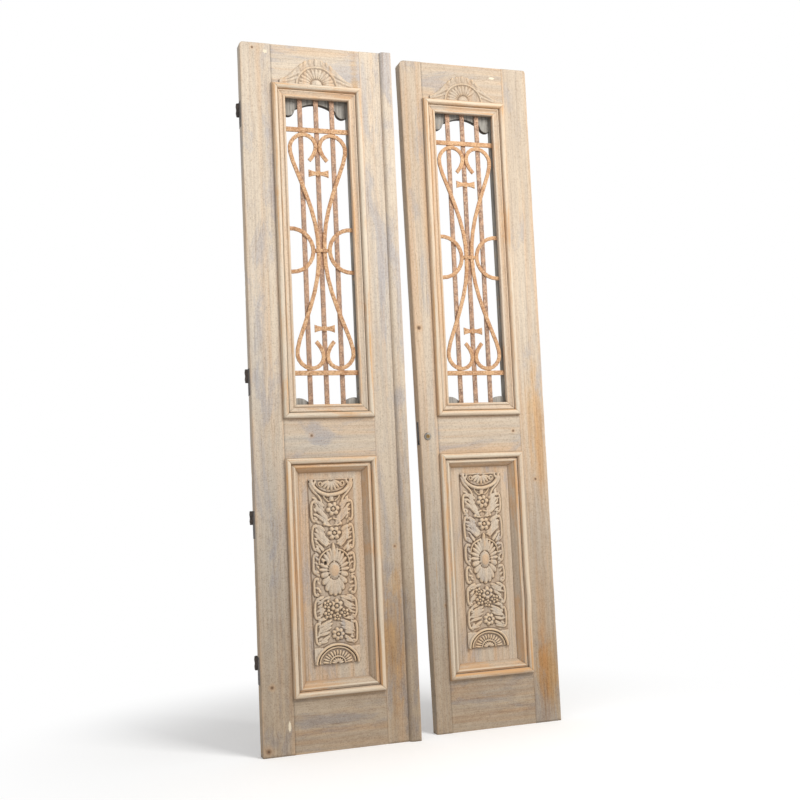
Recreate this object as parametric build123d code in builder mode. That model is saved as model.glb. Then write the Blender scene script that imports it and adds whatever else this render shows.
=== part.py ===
from build123d import *
import os
from dataclasses import dataclass
from math import atan2, cos, degrees, pi, radians, sin

# A pair of old frame-and-panel door leaves with carved plaques and iron grilles, in millimetres.
# X runs across the pair, the carved faces look towards -Y and Z is up.

# Frame of a leaf
leaf_height = 2300.0
leaf_thickness = 45.0
opening_width = 306.0
bottom_rail_height = 172.0
lower_opening_height = 756.0
lock_rail_height = 128.0
top_rail_height = 132.0
tenon_length = 50.0
tenon_thickness = 15.0
tenon_shoulder = 16.0
stile_corner_radius = 3.0

# Standing positions of the pair
leaf_gap = 58.0
leaf_step = 41.0

# Facets: how far a band's straight runs may stand off its curve, and the sides of small round pieces
chord_sag = 0.5
curve_samples = 200
screw_sides = 8
knuckle_sides = 12
barrel_sides = 10
half_turn = 180.0

# Cover strip on the meeting edge of the left leaf
strip_width = 40.0
strip_proud = 12.0
strip_overhang = 15.0
strip_shoulder = 7.0
strip_edge = 2.0

# Mouldings
moulding_width = 45.0
moulding_proud = 16.0
moulding_depth = 26.0
torus_width = 19.0
quirk_width = 1.5
quirk_floor = 1.0
fillet_width = 5.0
bead_width = 9.0
lip_depth = 12.0
lip_width = 12.0
lower_moulding_width = 48.0
upper_fillet_height = 5.0
lower_fillet_height = 3.0
cove_floor = 0.5
bead_foot = 1.0
bead_crown = 3.0
lower_bead_crown = 6.0
lower_cove_run = 5.0
lower_cove_drop = 8.0

# Lower panel and its plaque
panel_recess = 22.0
panel_thickness = 18.0
plaque_width = 151.0
plaque_foot_gap = 48.0
plaque_head_gap = 21.0
plaque_board = 6.0
plaque_relief = 6.0
carving_bite = 0.5
petal_crown = 0.5

# Crest on the top rail
crest_width = 252.0
crest_height = 92.0
crest_board = 3.0
crest_relief = 5.0

# Iron grille
bar_width = 16.0
bar_thickness = 6.0
upright_spacing = 55.0
crossbar_inset = 104.0
bar_seat = 10.0
scroll_width = 13.0
scroll_side_gap = 12.0
scroll_clearance = 0.9
scroll_waist_gap = 3.5
scroll_turn_gap = 0.4
hoop_height = 144.0
hoop_reach = 28.0
bow_width = 68.0
bow_end_height = 26.0
bow_waist_height = 14.0
bow_share = 0.64
collar_height = 12.0
collar_wall = 3.5
collar_clearance = 0.3
collar_lap = 2.0

# Casement behind the grille
casement_gap = 3.0
casement_front = 27.0
casement_member = 42.0
casement_lobe_drop = 54.0
casement_arch_drop = 10.0
casement_sill_lobe = 27.0
casement_hinge_inset = 150.0
casement_hinge_half = 25.0
casement_hinge_plate = 22.0
casement_barrel_radius = 4.5
casement_pin_radius = 2.5
barrel_gap = 0.5
barrel_end = 2.0
hinge_plate_thickness = 2.0
running_clearance = 0.05
rest_clearance = 0.3

# Turn button of the casement
button_length = 52.0
button_width = 14.0
button_thickness = 5.0
button_offset = 14.0
pivot_radius = 3.0
pivot_depth = 20.0

# Door hinges
door_hinge_heights = (287.0, 744.0, 1201.0, 2085.0)
knuckle_height = 44.0
knuckle_radius = 8.5
hinge_bore_radius = 4.5
knuckle_waist = 1.5
knuckle_gap = 1.0
door_plate_thickness = 2.5
door_plate_reach = 33.0
door_plate_height = 88.0
screw_head_radius = 4.0
screw_shank_radius = 2.0
screw_length = 20.0
screw_pitch = 50.0

# Lock of the right leaf
cylinder_height = 989.0
cylinder_backset = 27.0
cylinder_radius = 10.0
cylinder_ring_radius = 13.0
cylinder_ring_proud = 2.5
cylinder_ring_slope = 1.0
plug_radius = 6.5
plug_proud = 1.0
lock_case_height = 112.0
lock_case_depth = 44.0
lock_case_thickness = 15.0
lock_case_rise = 2.0
edge_plate_height = 78.0
edge_plate_thickness = 3.0
edge_plate_width = 20.0
edge_plate_rise = 11.0
bolt_height = 12.0
bolt_thickness = 8.0
bolt_length = 38.0
bolt_drop = 18.5
bolt_recess = 4.0
bolt_clearance = 0.2
keep_clearance = 2.0
keep_depth = 24.0
keyway_width = 1.6
keyway_floor = 6.0
cylinder_end = 4.0

# Surface bolts of the left leaf
rod_radius = 5.0
rod_length = 300.0
rod_setback = 4.0
rod_gap = 0.5
guide_end_gap = 10.0
guide_plate_height = 170.0
guide_plate_width = 26.0
guide_plate_thickness = 3.0
staple_height = 12.0
staple_wall = 4.0
knob_radius = 5.0
knob_reach = 14.0
rod_edge_distance = 36.0

# Worked out from the sizes above
lower_opening_top = bottom_rail_height + lower_opening_height
upper_opening_bottom = lower_opening_top + lock_rail_height
upper_opening_top = leaf_height - top_rail_height
sight_width = opening_width - 2 * moulding_width
sight_bottom = upper_opening_bottom + moulding_width
sight_top = upper_opening_top - moulding_width
grille_middle = (sight_bottom + sight_top) / 2
front_bar_plane = lip_depth
rear_bar_plane = lip_depth + bar_thickness
crossbar_offset = (sight_top - sight_bottom) / 2 - crossbar_inset
plaque_height = lower_opening_height - 2 * lower_moulding_width - plaque_foot_gap - plaque_head_gap
scroll_half_width = sight_width / 2 - scroll_side_gap
bow_offset = bow_share * crossbar_offset
lock_case_centre = cylinder_height + lock_case_rise
edge_plate_centre = cylinder_height + edge_plate_rise
bolt_centre = cylinder_height - bolt_drop
door_hinge_axis = leaf_thickness + knuckle_radius + knuckle_gap
casement_hinge_axis = leaf_thickness + casement_barrel_radius + barrel_gap


@dataclass
class Leaf:
    """One leaf: which side it hangs on, its own widths and where it stands."""

    name: str
    hinge_side: int
    hinge_stile: float
    meeting_stile: float
    left: float
    front: float
    edge_taper: float

    @property
    def width(self):
        return self.hinge_stile + opening_width + self.meeting_stile

    @property
    def right(self):
        return self.left + self.width

    @property
    def opening_left(self):
        return self.left + (self.hinge_stile if self.hinge_side < 0 else self.meeting_stile)

    @property
    def opening_right(self):
        return self.opening_left + opening_width

    @property
    def column(self):
        """Middle of the openings, where mouldings, grille and carving are centred."""
        return self.opening_left + opening_width / 2

    @property
    def hinge_edge(self):
        return self.left if self.hinge_side < 0 else self.right

    @property
    def meeting_edge(self):
        return self.right if self.hinge_side < 0 else self.left

    @property
    def inward(self):
        """Direction along X from the hinge edge to the meeting edge."""
        return -self.hinge_side

    def plane(self, x=0.0, z=0.0, depth=0.0):
        """Upright plane facing the viewer, `depth` behind the carved face."""
        return Plane(origin=(x, self.front + depth, z), x_dir=(1, 0, 0), z_dir=(0, -1, 0))

    def level(self, x, depth, z):
        """Level plane seen from above, x along the door and y into it."""
        return Plane(origin=(x, self.front + depth, z), x_dir=(1, 0, 0), z_dir=(0, 0, 1))


left_stiles = (102.0, 97.0)
right_stiles = (96.0, 67.0)
left_board_width = sum(left_stiles) + opening_width
right_board_width = sum(right_stiles) + opening_width
pair_width = left_board_width + strip_overhang + leaf_gap + right_board_width
left_start = -pair_width / 2
right_start = pair_width / 2 - right_board_width
pair_depth = moulding_proud + leaf_step + door_hinge_axis + knuckle_radius
front_start = moulding_proud - pair_depth / 2

left_leaf = Leaf("left", -1, *left_stiles, left_start, front_start, 0.0)
right_leaf = Leaf("right", 1, *right_stiles, right_start, front_start + leaf_step, 13.5)


def save(name, part):
    """Label a finished piece and write it."""
    part.label = name
    export_step(part, f"parts/{name}.step")


def slab(leaf, x0, x1, z0, z1, front, back):
    """A flat board or plate between two depths."""
    with BuildPart() as board:
        with BuildSketch(leaf.plane((x0 + x1) / 2, (z0 + z1) / 2, back)):
            Rectangle(x1 - x0, z1 - z0)
        extrude(amount=back - front)
    return board.part


def group(pieces):
    """Several pieces kept together under one name."""
    with BuildPart() as whole:
        add(pieces)
    return whole.part


# Strips of even width along curves
def along(path):
    """Points on a path: both ends, and the fewest between them that keep straight runs close to it."""
    places = [0.0]
    for step in range(1, curve_samples):
        share = step / curve_samples
        turn = radians((path % share).get_angle(path % places[-1]))
        chord = (path @ share - path @ places[-1]).length
        if chord * turn / 8 > chord_sag:
            places.append(share)
    return [path @ share for share in places + [1.0]]


def bow(start, middle, end):
    """Points on the arc through three points."""
    with BuildLine() as path:
        ThreePointArc(start, middle, end)
    return along(path.line)


def strip(points, width):
    """Corners of a strip whose middle runs through the points."""
    near = []
    far = []
    last = len(points) - 1
    for index, point in enumerate(points):
        ahead = (points[min(index + 1, last)] - points[max(index - 1, 0)]).normalized()
        aside = Vector(-ahead.Y, ahead.X) * (width / 2)
        near.append(point + aside)
        far.append(point - aside)
    return [(corner.X, corner.Y) for corner in near + far[::-1]]


# Faceted blocks
def tapered_block(outline, levels):
    """Solid through one outline at several levels: the height and the share of its size at each."""
    with BuildPart() as block:
        for height, share in levels:
            with BuildSketch(Plane.XY.offset(height)):
                Polygon(*[(x * share, y * share) for x, y in outline], align=None)
        loft(ruled=True)
    return block.part


def oval(x_radius, y_radius, sides):
    """Corners of a regular outline on an oval."""
    angles = [2 * pi * step / sides for step in range(sides)]
    return [(x_radius * cos(angle), y_radius * sin(angle)) for angle in angles]


# Door hinges
def hinge_screws(leaf):
    """Countersunk screws that hold the door hinge plates on the hinge edge."""
    depth = leaf.front + leaf_thickness - door_plate_reach / 2
    outline = oval(screw_shank_radius, screw_shank_radius, screw_sides)
    levels = [(0, screw_head_radius / screw_shank_radius), (door_plate_thickness, 1), (screw_length, 1)]
    screw = tapered_block(outline, levels)
    screws = []
    for height in door_hinge_heights:
        for rise in (-screw_pitch / 2, screw_pitch / 2):
            middle = height + (knuckle_height - door_plate_height) / 2 + rise
            seat = Plane(origin=(leaf.hinge_edge, depth, middle), x_dir=(0, 1, 0), z_dir=(leaf.inward, 0, 0))
            screws.append(screw.moved(seat.location))
    return screws


def door_hinges(leaf, screws):
    """The leaf's halves of the door hinges: edge plates with a two-lobed knuckle behind."""
    middle = leaf.inward * door_plate_thickness / 2
    waist = 1 - knuckle_waist / knuckle_radius
    lobes = [(knuckle_height * step / 4, 1 if step % 2 else waist) for step in range(5)]
    knuckle = tapered_block(oval(knuckle_radius, knuckle_radius, knuckle_sides), lobes)
    with BuildPart() as hinges:
        for height in door_hinge_heights:
            low = height - knuckle_height / 2
            plate_low = low - (door_plate_height - knuckle_height)
            with BuildSketch(leaf.level(leaf.hinge_edge + middle, leaf_thickness - door_plate_reach / 2, plate_low)):
                Rectangle(door_plate_thickness, door_plate_reach)
            extrude(amount=door_plate_height)
            with BuildSketch(leaf.level(leaf.hinge_edge + middle, (leaf_thickness + door_hinge_axis) / 2, low)):
                Rectangle(door_plate_thickness, door_hinge_axis - leaf_thickness)
            extrude(amount=knuckle_height)
            foot = leaf.level(leaf.hinge_edge, door_hinge_axis, low)
            with Locations(foot):
                add(knuckle)
            with BuildSketch(foot):
                Circle(hinge_bore_radius)
            extrude(amount=knuckle_height, mode=Mode.SUBTRACT)
        add(screws, mode=Mode.SUBTRACT)
    return hinges.part


# Stiles and rails
def rail_spans():
    """Bottom and top of each rail, by name."""
    return {
        "bottom_rail": (0.0, bottom_rail_height),
        "lock_rail": (lower_opening_top, upper_opening_bottom),
        "top_rail": (upper_opening_top, leaf_height),
    }


def rail(leaf, low, high, cutters):
    """A rail with a tenon at each end, cut where lock or keep goes in."""
    tenon_front = (leaf_thickness - tenon_thickness) / 2
    body = slab(leaf, leaf.opening_left, leaf.opening_right, low, high, 0, leaf_thickness)
    tenons = slab(
        leaf,
        leaf.opening_left - tenon_length,
        leaf.opening_right + tenon_length,
        low + tenon_shoulder,
        high - tenon_shoulder,
        tenon_front,
        tenon_front + tenon_thickness,
    )
    with BuildPart() as board:
        add(body)
        add(tenons)
        if cutters:
            add(cutters, mode=Mode.SUBTRACT)
    return board.part


def stile(leaf, x0, x1, rails, cutters, taper=0.0):
    """An upright board, its outer corners eased and its mortises cut by the rails' tenons.

    taper moves the left edge, to the right at the foot and to the left at the head.
    """
    outer = x0 if x0 == leaf.left else x1
    with BuildPart() as board:
        with BuildSketch(leaf.plane(depth=leaf_thickness)):
            Polygon((x0 + taper, 0), (x1, 0), (x1, leaf_height), (x0 - taper, leaf_height), align=None)
        extrude(amount=leaf_thickness)
        corners = board.edges().filter_by(lambda e: abs(e.center().X - outer) < 1 and e.length > leaf_height / 2)
        fillet(corners, stile_corner_radius)
        add(rails + cutters, mode=Mode.SUBTRACT)
    return board.part


def cover_strip(leaf):
    """Rounded strip planted on the meeting edge, lapping over the other leaf."""
    edge = leaf.meeting_edge + strip_overhang
    with BuildPart() as strip:
        with BuildSketch(leaf.level(edge, 0, 0)):
            with BuildLine():
                Line((0, 0), (-strip_width, 0))
                Line((-strip_width, 0), (-strip_width, -strip_edge))
                ThreePointArc(
                    (-strip_width, -strip_edge),
                    (-strip_width + strip_shoulder * 0.55, -strip_proud * 0.75),
                    (-strip_width + 2 * strip_shoulder, -strip_proud),
                )
                Line((-strip_width + 2 * strip_shoulder, -strip_proud), (-strip_shoulder, -strip_proud))
                ThreePointArc(
                    (-strip_shoulder, -strip_proud),
                    (-strip_shoulder * 0.3, -strip_proud + strip_shoulder * 0.3),
                    (0, -strip_proud + strip_shoulder),
                )
                Line((0, -strip_proud + strip_shoulder), (0, 0))
            make_face()
        extrude(amount=leaf_height)
    return strip.part


# Mitred mouldings
def torus(back):
    """Rounded outer edge of a moulding, with the quirk beside it: from its back to the quirk's floor."""
    radius = torus_width / 2
    spring = moulding_proud - radius
    Line((0, back), (0, spring))
    ThreePointArc((0, spring), (radius, moulding_proud), (torus_width, spring))
    Line((torus_width, spring), (torus_width, quirk_floor))
    Line((torus_width, quirk_floor), (torus_width + quirk_width, quirk_floor))


def upper_profile():
    """Section of the upper moulding: x inwards from its outer edge, y proud of the face."""
    quirk = torus_width + quirk_width
    cove = torus_width + fillet_width
    bead = moulding_width - bead_width
    torus(-moulding_depth)
    Line((quirk, quirk_floor), (quirk, upper_fillet_height))
    Line((quirk, upper_fillet_height), (cove, upper_fillet_height))
    ThreePointArc((cove, upper_fillet_height), (cove + (bead - cove) * 0.45, cove_floor), (bead, -bead_foot))
    ThreePointArc((bead, -bead_foot), (bead + bead_width / 2, bead_crown), (moulding_width, -bead_foot))
    Line((moulding_width, -bead_foot), (moulding_width, -lip_depth))
    Line((moulding_width, -lip_depth), (moulding_width - lip_width, -lip_depth))
    Line((moulding_width - lip_width, -lip_depth), (moulding_width - lip_width, -moulding_depth))
    Line((moulding_width - lip_width, -moulding_depth), (0, -moulding_depth))


def lower_profile():
    """Section of the lower moulding, whose inner edge coves down to the panel."""
    quirk = torus_width + quirk_width
    bead = torus_width + fillet_width
    cove = bead + bead_width
    torus(-panel_recess)
    Line((quirk, quirk_floor), (quirk, lower_fillet_height))
    Line((quirk, lower_fillet_height), (bead, lower_fillet_height))
    ThreePointArc((bead, lower_fillet_height), (bead + bead_width / 2, lower_bead_crown), (cove, quirk_floor))
    ThreePointArc(
        (cove, quirk_floor), (cove + lower_cove_run, -lower_cove_drop), (lower_moulding_width, -panel_recess)
    )
    Line((lower_moulding_width, -panel_recess), (0, -panel_recess))


def mitred_run(leaf, corner, inward, length, profile):
    """One length of moulding, cut at 45 degrees at both ends.

    corner is the outer corner that it starts from, (x, z), and inward points to the opening.
    """
    across = Vector(inward[0], 0, inward[1])
    start = Vector(corner[0], leaf.front, corner[1])
    section = Plane(origin=start, x_dir=across, z_dir=across.cross(Vector(0, -1, 0)))
    along = section.z_dir
    with BuildPart() as run:
        with BuildSketch(section):
            with BuildLine():
                profile()
            make_face()
        extrude(amount=length)
        split(bisect_by=Plane(origin=start, z_dir=along - across), keep=Keep.TOP)
        split(bisect_by=Plane(origin=start + along * length, z_dir=-along - across), keep=Keep.TOP)
    return run.part


def moulding(leaf, low, high, profile):
    """The four mitred lengths round an opening: the two sides, and the head with the sill."""
    left, right = leaf.opening_left, leaf.opening_right
    height = high - low
    width = right - left
    uprights = [
        mitred_run(leaf, (left, high), (1, 0), height, profile),
        mitred_run(leaf, (right, low), (-1, 0), height, profile),
    ]
    levels = [
        mitred_run(leaf, (right, high), (0, -1), width, profile),
        mitred_run(leaf, (left, low), (0, 1), width, profile),
    ]
    return group(uprights), group(levels)


# Carving
def petal(length, width, height):
    """Petal or leaf along x, centred, that swells towards its tip and slopes up to a narrow crown."""
    half = length / 2
    side = width / 2
    outline = [
        (-half, 0),
        (-half * 0.4, -side * 0.7),
        (half * 0.5, -side),
        (half, 0),
        (half * 0.5, side),
        (-half * 0.4, side * 0.7),
    ]
    return tapered_block(outline, [(-carving_bite, 1), (0, 1), (height, petal_crown)])


def turned(piece, x, y, turn=0.0):
    """A carved piece moved to its place and turned about it."""
    return piece.moved(Location((x, y, 0), (0, 0, turn)))


def dome(x_radius, y_radius, height, sides=12):
    """Low faceted dome on an oval base."""
    levels = [(-carving_bite, 1), (0, 1), (height * 0.65, 0.85), (height, 0.4)]
    return tapered_block(oval(x_radius, y_radius, sides), levels)


def raised_strip(points, width, height):
    """A flat band of carving along a line of points."""
    with BuildPart() as band:
        with BuildSketch():
            Polygon(*strip(points, width), align=None)
        extrude(amount=height)
    return band.part


def pair(piece, x, y, turn):
    """A carved piece on the right half and its twin on the left half."""
    return [turned(piece, x, y, turn), turned(piece, -x, y, half_turn - turn)]


def crest():
    """Low pediment with a half daisy under an arch and a leaf wing on each side."""
    half = crest_width / 2
    boss_radius = 25.0
    fan_radius = 58.0
    arch_radius = 64.0
    arch_width = 8.0
    wing_leaves = ((86, 10, 25, 44), (92, 24, 40, 34), (74, 40, 55, 30), (52, 66, 65, 24))
    shoulder = (half * 0.38, crest_height * 0.8)
    ray = petal(fan_radius - boss_radius, 10, crest_relief)
    relief = [dome(boss_radius, boss_radius, crest_relief * 1.3, 20)]
    relief.append(turned(petal(20, 14, crest_relief * 0.7), 0, 81, 90))
    relief.append(
        raised_strip(bow((arch_radius, 0), (0, arch_radius), (-arch_radius, 0)), arch_width, crest_relief * 0.8)
    )
    for x, z, turn, length in wing_leaves:
        relief += pair(petal(length, 12, crest_relief * 0.7), x, z, turn)
    flank = bow((half, 0), (half * 0.66, crest_height * 0.42), shoulder)
    crown = bow(shoulder, (0, crest_height), (-shoulder[0], shoulder[1]))
    outline = [(point.X, point.Y) for point in flank[:-1] + crown]
    outline += [(-point.X, point.Y) for point in flank[-2::-1]]
    with BuildPart() as carving:
        with BuildSketch():
            Polygon(*outline, align=None)
        extrude(amount=crest_board)
        with Locations((0, 0, crest_board)):
            with PolarLocations((boss_radius + fan_radius) / 2, 13, 8, 164, endpoint=True):
                add(ray)
            add(relief)
        split(bisect_by=Plane.XZ, keep=Keep.BOTTOM)
    return carving.part


def lunette(side):
    """Half fan under an arch, at the end of the plaque: side is 1 at the bottom, -1 at the top."""
    half = plaque_width / 2 - 2
    rise = 54.0
    edge = -side * plaque_height / 2
    band = 7.0
    reach = 36.0
    ray = petal(reach, 9.5, plaque_relief * 0.8)
    arch = raised_strip(bow((half, edge), (0, edge + side * rise), (-half, edge)), band, plaque_relief)
    with BuildPart() as fan:
        with PolarLocations(band + reach / 2, 9, 14, 152, endpoint=True):
            add(ray)
    return [arch, turned(fan.part, 0, edge, 0 if side > 0 else half_turn)]


def flower(radius):
    """Six round petals, with notches between them, and a boss."""
    count = 6
    outline = []
    for index in range(count):
        for share, reach in ((0.0, 0.62), (0.3, 1.0), (0.7, 1.0)):
            angle = 2 * pi * (index + share) / count
            outline.append((radius * reach * cos(angle), radius * reach * sin(angle)))
    petals = tapered_block(outline, [(-carving_bite, 1), (0, 1), (plaque_relief * 0.8, 0.85)])
    return [petals, dome(radius * 0.3, radius * 0.3, plaque_relief * 1.2, 8)]


def rosette():
    """Oval daisy at the middle of the plaque with a raised oval boss."""
    half_width = 40.0
    half_height = 80.0
    boss_width = 20.0
    boss_height = 27.0
    count = 16
    pieces = [dome(boss_width, boss_height, plaque_relief * 1.3, 20)]
    for index in range(count):
        angle = 2 * pi * (index + 0.5) / count
        inner = Vector(boss_width * cos(angle), boss_height * sin(angle))
        outer = Vector(half_width * cos(angle), half_height * sin(angle))
        ray = outer - inner
        middle = (inner + outer) * 0.5
        turn = degrees(atan2(ray.Y, ray.X))
        breadth = 12.5 + 3.5 * abs(cos(angle))
        pieces.append(turned(petal(ray.length + 4, breadth, plaque_relief * 0.9), middle.X, middle.Y, turn))
    return pieces


def ribbon(side):
    """Chain of C-scrolls down one side of the plaque."""
    edge = side * (plaque_width / 2 - 6)
    inset = side * (plaque_width / 2 - 24)
    stations = (-225.0, -155.0, -85.0, 0.0, 85.0, 155.0, 225.0)
    bands = []
    for low, high in zip(stations, stations[1:]):
        points = bow((inset, low + 5), (edge, (low + high) / 2), (inset, high - 5))
        bands.append(raised_strip(points, 6, plaque_relief * 0.75))
    return bands


# Leaves of the plaque's right half: x, z, turn and length of each
leaf_sprays = (
    (24, 226, 60, 38),
    (36, 176, 40, 34),
    (28, 152, 55, 38),
    (42, 110, 50, 32),
    (22, 92, 70, 26),
    (40, -100, -50, 32),
    (42, -160, -50, 34),
    (24, -166, -65, 30),
    (40, -212, -55, 30),
)

# Flowers on the plaque: x, z and radius of each
plaque_flowers = ((0, 196, 21), (0, 122, 21), (0, -106, 20), (-19, -132, 14), (19, -132, 14), (0, -196, 18))


def plaque():
    """Carved board, its back at the origin."""
    relief = lunette(1) + lunette(-1) + ribbon(-1) + ribbon(1) + rosette()
    for x, z, radius in plaque_flowers:
        relief += [turned(piece, x, z) for piece in flower(radius)]
    for x, z, turn, length in leaf_sprays:
        relief += pair(petal(length, 11, plaque_relief * 0.7), x, z, turn)
    with BuildPart() as board:
        with BuildSketch():
            Rectangle(plaque_width, plaque_height)
        extrude(amount=plaque_board)
        with Locations((0, 0, plaque_board)):
            add(relief)
    return board.part


def planted(carving, plane):
    """A carving set with its back on a plane of a leaf."""
    with BuildPart() as whole:
        with Locations(plane):
            add(carving)
    return whole.part


carved_plaque = plaque()
carved_crest = crest()


# Iron grille
def bars(leaf, spans, plane_depth):
    """Flat bars on one plane: spans are (x0, x1, z0, z1)."""
    return group([slab(leaf, *span, plane_depth, plane_depth + bar_thickness) for span in spans])


def upright_bars(leaf):
    spans = []
    for step in (-1, 0, 1):
        x = leaf.column + step * upright_spacing
        spans.append((x - bar_width / 2, x + bar_width / 2, sight_bottom - bar_seat, sight_top + bar_seat))
    return bars(leaf, spans, rear_bar_plane)


def crossbars(leaf):
    reach = sight_width / 2 + bar_seat
    spans = []
    for side in (-1, 1):
        z = grille_middle + side * crossbar_offset
        spans.append((leaf.column - reach, leaf.column + reach, z - bar_width / 2, z + bar_width / 2))
    return bars(leaf, spans, front_bar_plane)


def scrolls(leaf):
    """Two lyre scrolls, held together by the collar and curling in at both ends."""
    lobe = crossbar_offset - bar_width / 2 - scroll_width / 2 - scroll_clearance
    reach = scroll_half_width
    near = scroll_width / 2 + scroll_turn_gap
    waist = scroll_width / 2 + collar_clearance + scroll_waist_gap
    half = [
        (waist, 0),
        (waist + reach * 0.06, lobe * 0.2),
        (reach * 0.36, lobe * 0.4),
        (reach * 0.68, lobe * 0.62),
        (reach * 0.95, lobe * 0.81),
        (reach * 0.97, lobe * 0.91),
        (reach * 0.56, lobe),
        (near + reach * 0.1, lobe * 0.965),
        (near, lobe * 0.905),
        (near + reach * 0.07, lobe * 0.835),
        (near + reach * 0.25, lobe * 0.775),
    ]
    with BuildLine() as path:
        Spline(*[(x, -z) for x, z in half[:0:-1]], *half)
    upper = along(path.edges()[0].trim(0.5, 1.0))
    lower = [Vector(point.X, -point.Y) for point in upper[:0:-1]]
    band = strip(lower + upper, scroll_width)
    with BuildPart() as iron:
        with BuildSketch(leaf.plane(leaf.column, grille_middle, front_bar_plane + bar_thickness)):
            for side in (-1, 1):
                Polygon(*[(side * x, z) for x, z in band], align=None)
        extrude(amount=bar_thickness)
    return iron.part


def hoops(leaf):
    """Half hoops that spring from the sides of the opening towards the collar."""
    edge = sight_width / 2
    rise = Vector(0, hoop_height / 2)
    seat = Vector(edge + bar_seat, 0)
    points = bow((edge, hoop_height / 2), (hoop_reach, 0), (edge, -hoop_height / 2))
    band = strip([seat + rise] + points + [seat - rise], scroll_width)
    with BuildPart() as iron:
        with BuildSketch(leaf.plane(leaf.column, grille_middle, front_bar_plane + bar_thickness)):
            for side in (-1, 1):
                Polygon(*[(side * x, z) for x, z in band], align=None)
        extrude(amount=bar_thickness)
    return iron.part


def bow_ties(leaf):
    """Short crosslets with flared ends on the middle upright."""
    half = bow_width / 2
    end = bow_end_height / 2
    waist = bow_waist_height / 2
    with BuildPart() as iron:
        for side in (-1, 1):
            plane = leaf.plane(leaf.column, grille_middle + side * bow_offset, front_bar_plane + bar_thickness)
            with BuildSketch(plane):
                with BuildLine():
                    ThreePointArc((-half, -end), (0, -waist * 0.8), (half, -end))
                    Line((half, -end), (half, end))
                    ThreePointArc((half, end), (0, waist * 0.8), (-half, end))
                    Line((-half, end), (-half, -end))
                make_face()
                Circle(waist * 1.4)
            extrude(amount=bar_thickness)
    return iron.part


def collar(leaf):
    """Band that binds the two scrolls to the middle upright."""
    inner_width = 2 * (scroll_width + scroll_waist_gap) + 4 * collar_clearance
    inner_depth = 2 * bar_thickness
    middle = lip_depth + bar_thickness
    with BuildPart() as band:
        with BuildSketch(leaf.level(leaf.column, middle, grille_middle - collar_height / 2)):
            Rectangle(inner_width + 2 * collar_wall, inner_depth + 2 * collar_lap)
            Rectangle(inner_width, inner_depth, mode=Mode.SUBTRACT)
        extrude(amount=collar_height)
    return band.part


# Casement behind the grille
def casement_edges(leaf):
    return leaf.opening_left + casement_gap, leaf.opening_right - casement_gap


def casement_stiles(leaf):
    left, right = casement_edges(leaf)
    low = upper_opening_bottom + casement_gap
    high = upper_opening_top - casement_gap
    boards = [
        slab(leaf, left, left + casement_member, low, high, casement_front, leaf_thickness),
        slab(leaf, right - casement_member, right, low, high, casement_front, leaf_thickness),
    ]
    return group(boards)


def casement_rails(leaf):
    """Head with a cusped arch and hanging lobes, and a sill with low corner lobes."""
    left, right = casement_edges(leaf)
    half = (right - left) / 2 - casement_member
    head_high = upper_opening_top - casement_gap - sight_top
    sill_low = upper_opening_bottom + casement_gap - sight_bottom
    lobe = casement_lobe_drop
    depth = leaf_thickness - casement_front
    with BuildPart() as boards:
        with BuildSketch(leaf.plane(leaf.column, sight_top, leaf_thickness)):
            with BuildLine():
                Line((-half, head_high), (half, head_high))
                for side in (1, -1):
                    Line((side * half, head_high), (side * half, -lobe * 0.9))
                    ThreePointArc(
                        (side * half, -lobe * 0.9), (side * half * 0.84, -lobe), (side * half * 0.66, -lobe * 0.66)
                    )
                    ThreePointArc(
                        (side * half * 0.66, -lobe * 0.66), (side * half * 0.6, -lobe * 0.5), (side * half * 0.5, -lobe * 0.46)
                    )
                ThreePointArc(
                    (half * 0.5, -lobe * 0.46), (0, -casement_arch_drop), (-half * 0.5, -lobe * 0.46)
                )
            make_face()
        extrude(amount=depth)
        with BuildSketch(leaf.plane(leaf.column, sight_bottom, leaf_thickness)):
            with BuildLine():
                Line((-half, sill_low), (half, sill_low))
                for side in (1, -1):
                    Line((side * half, sill_low), (side * half, casement_sill_lobe * 0.8))
                    ThreePointArc(
                        (side * half, casement_sill_lobe * 0.8),
                        (side * half * 0.8, casement_sill_lobe * 0.86),
                        (side * half * 0.5, 0),
                    )
                Line((half * 0.5, 0), (-half * 0.5, 0))
            make_face()
        extrude(amount=depth)
    return boards.part


def casement_hinge_heights():
    low = upper_opening_bottom + casement_hinge_inset
    high = upper_opening_top - casement_hinge_inset
    return low, high


def casement_hinges(leaf):
    """Lift-off hinges on the back: the leaf's half carries the pin, the casement's half turns on it."""
    axis_x = leaf.hinge_edge + leaf.inward * (leaf.hinge_stile + casement_gap / 2)
    half = casement_hinge_half
    middle = -leaf.inward * casement_hinge_plate / 2
    span = casement_hinge_axis - leaf_thickness
    with BuildPart() as fixed:
        for height in casement_hinge_heights():
            with BuildSketch(leaf.level(axis_x, leaf_thickness, height - half)):
                with Locations((middle, hinge_plate_thickness / 2)):
                    Rectangle(casement_hinge_plate, hinge_plate_thickness)
                with Locations((0, span)):
                    RegularPolygon(casement_barrel_radius, barrel_sides)
            extrude(amount=half)
            with BuildSketch(leaf.level(axis_x, casement_hinge_axis, height)):
                Circle(casement_pin_radius)
            extrude(amount=half)
    with BuildPart() as turning:
        for height in casement_hinge_heights():
            with BuildSketch(leaf.level(axis_x, leaf_thickness, height)):
                with Locations((-middle, hinge_plate_thickness / 2)):
                    Rectangle(casement_hinge_plate, hinge_plate_thickness)
                with Locations((0, span)):
                    RegularPolygon(casement_barrel_radius, barrel_sides)
                    Circle(casement_pin_radius + running_clearance, mode=Mode.SUBTRACT)
            extrude(amount=half + barrel_end)
    return fixed.part, turning.part


def button_place(leaf):
    edge = leaf.opening_right if leaf.hinge_side < 0 else leaf.opening_left
    return edge + leaf.inward * button_offset


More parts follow.
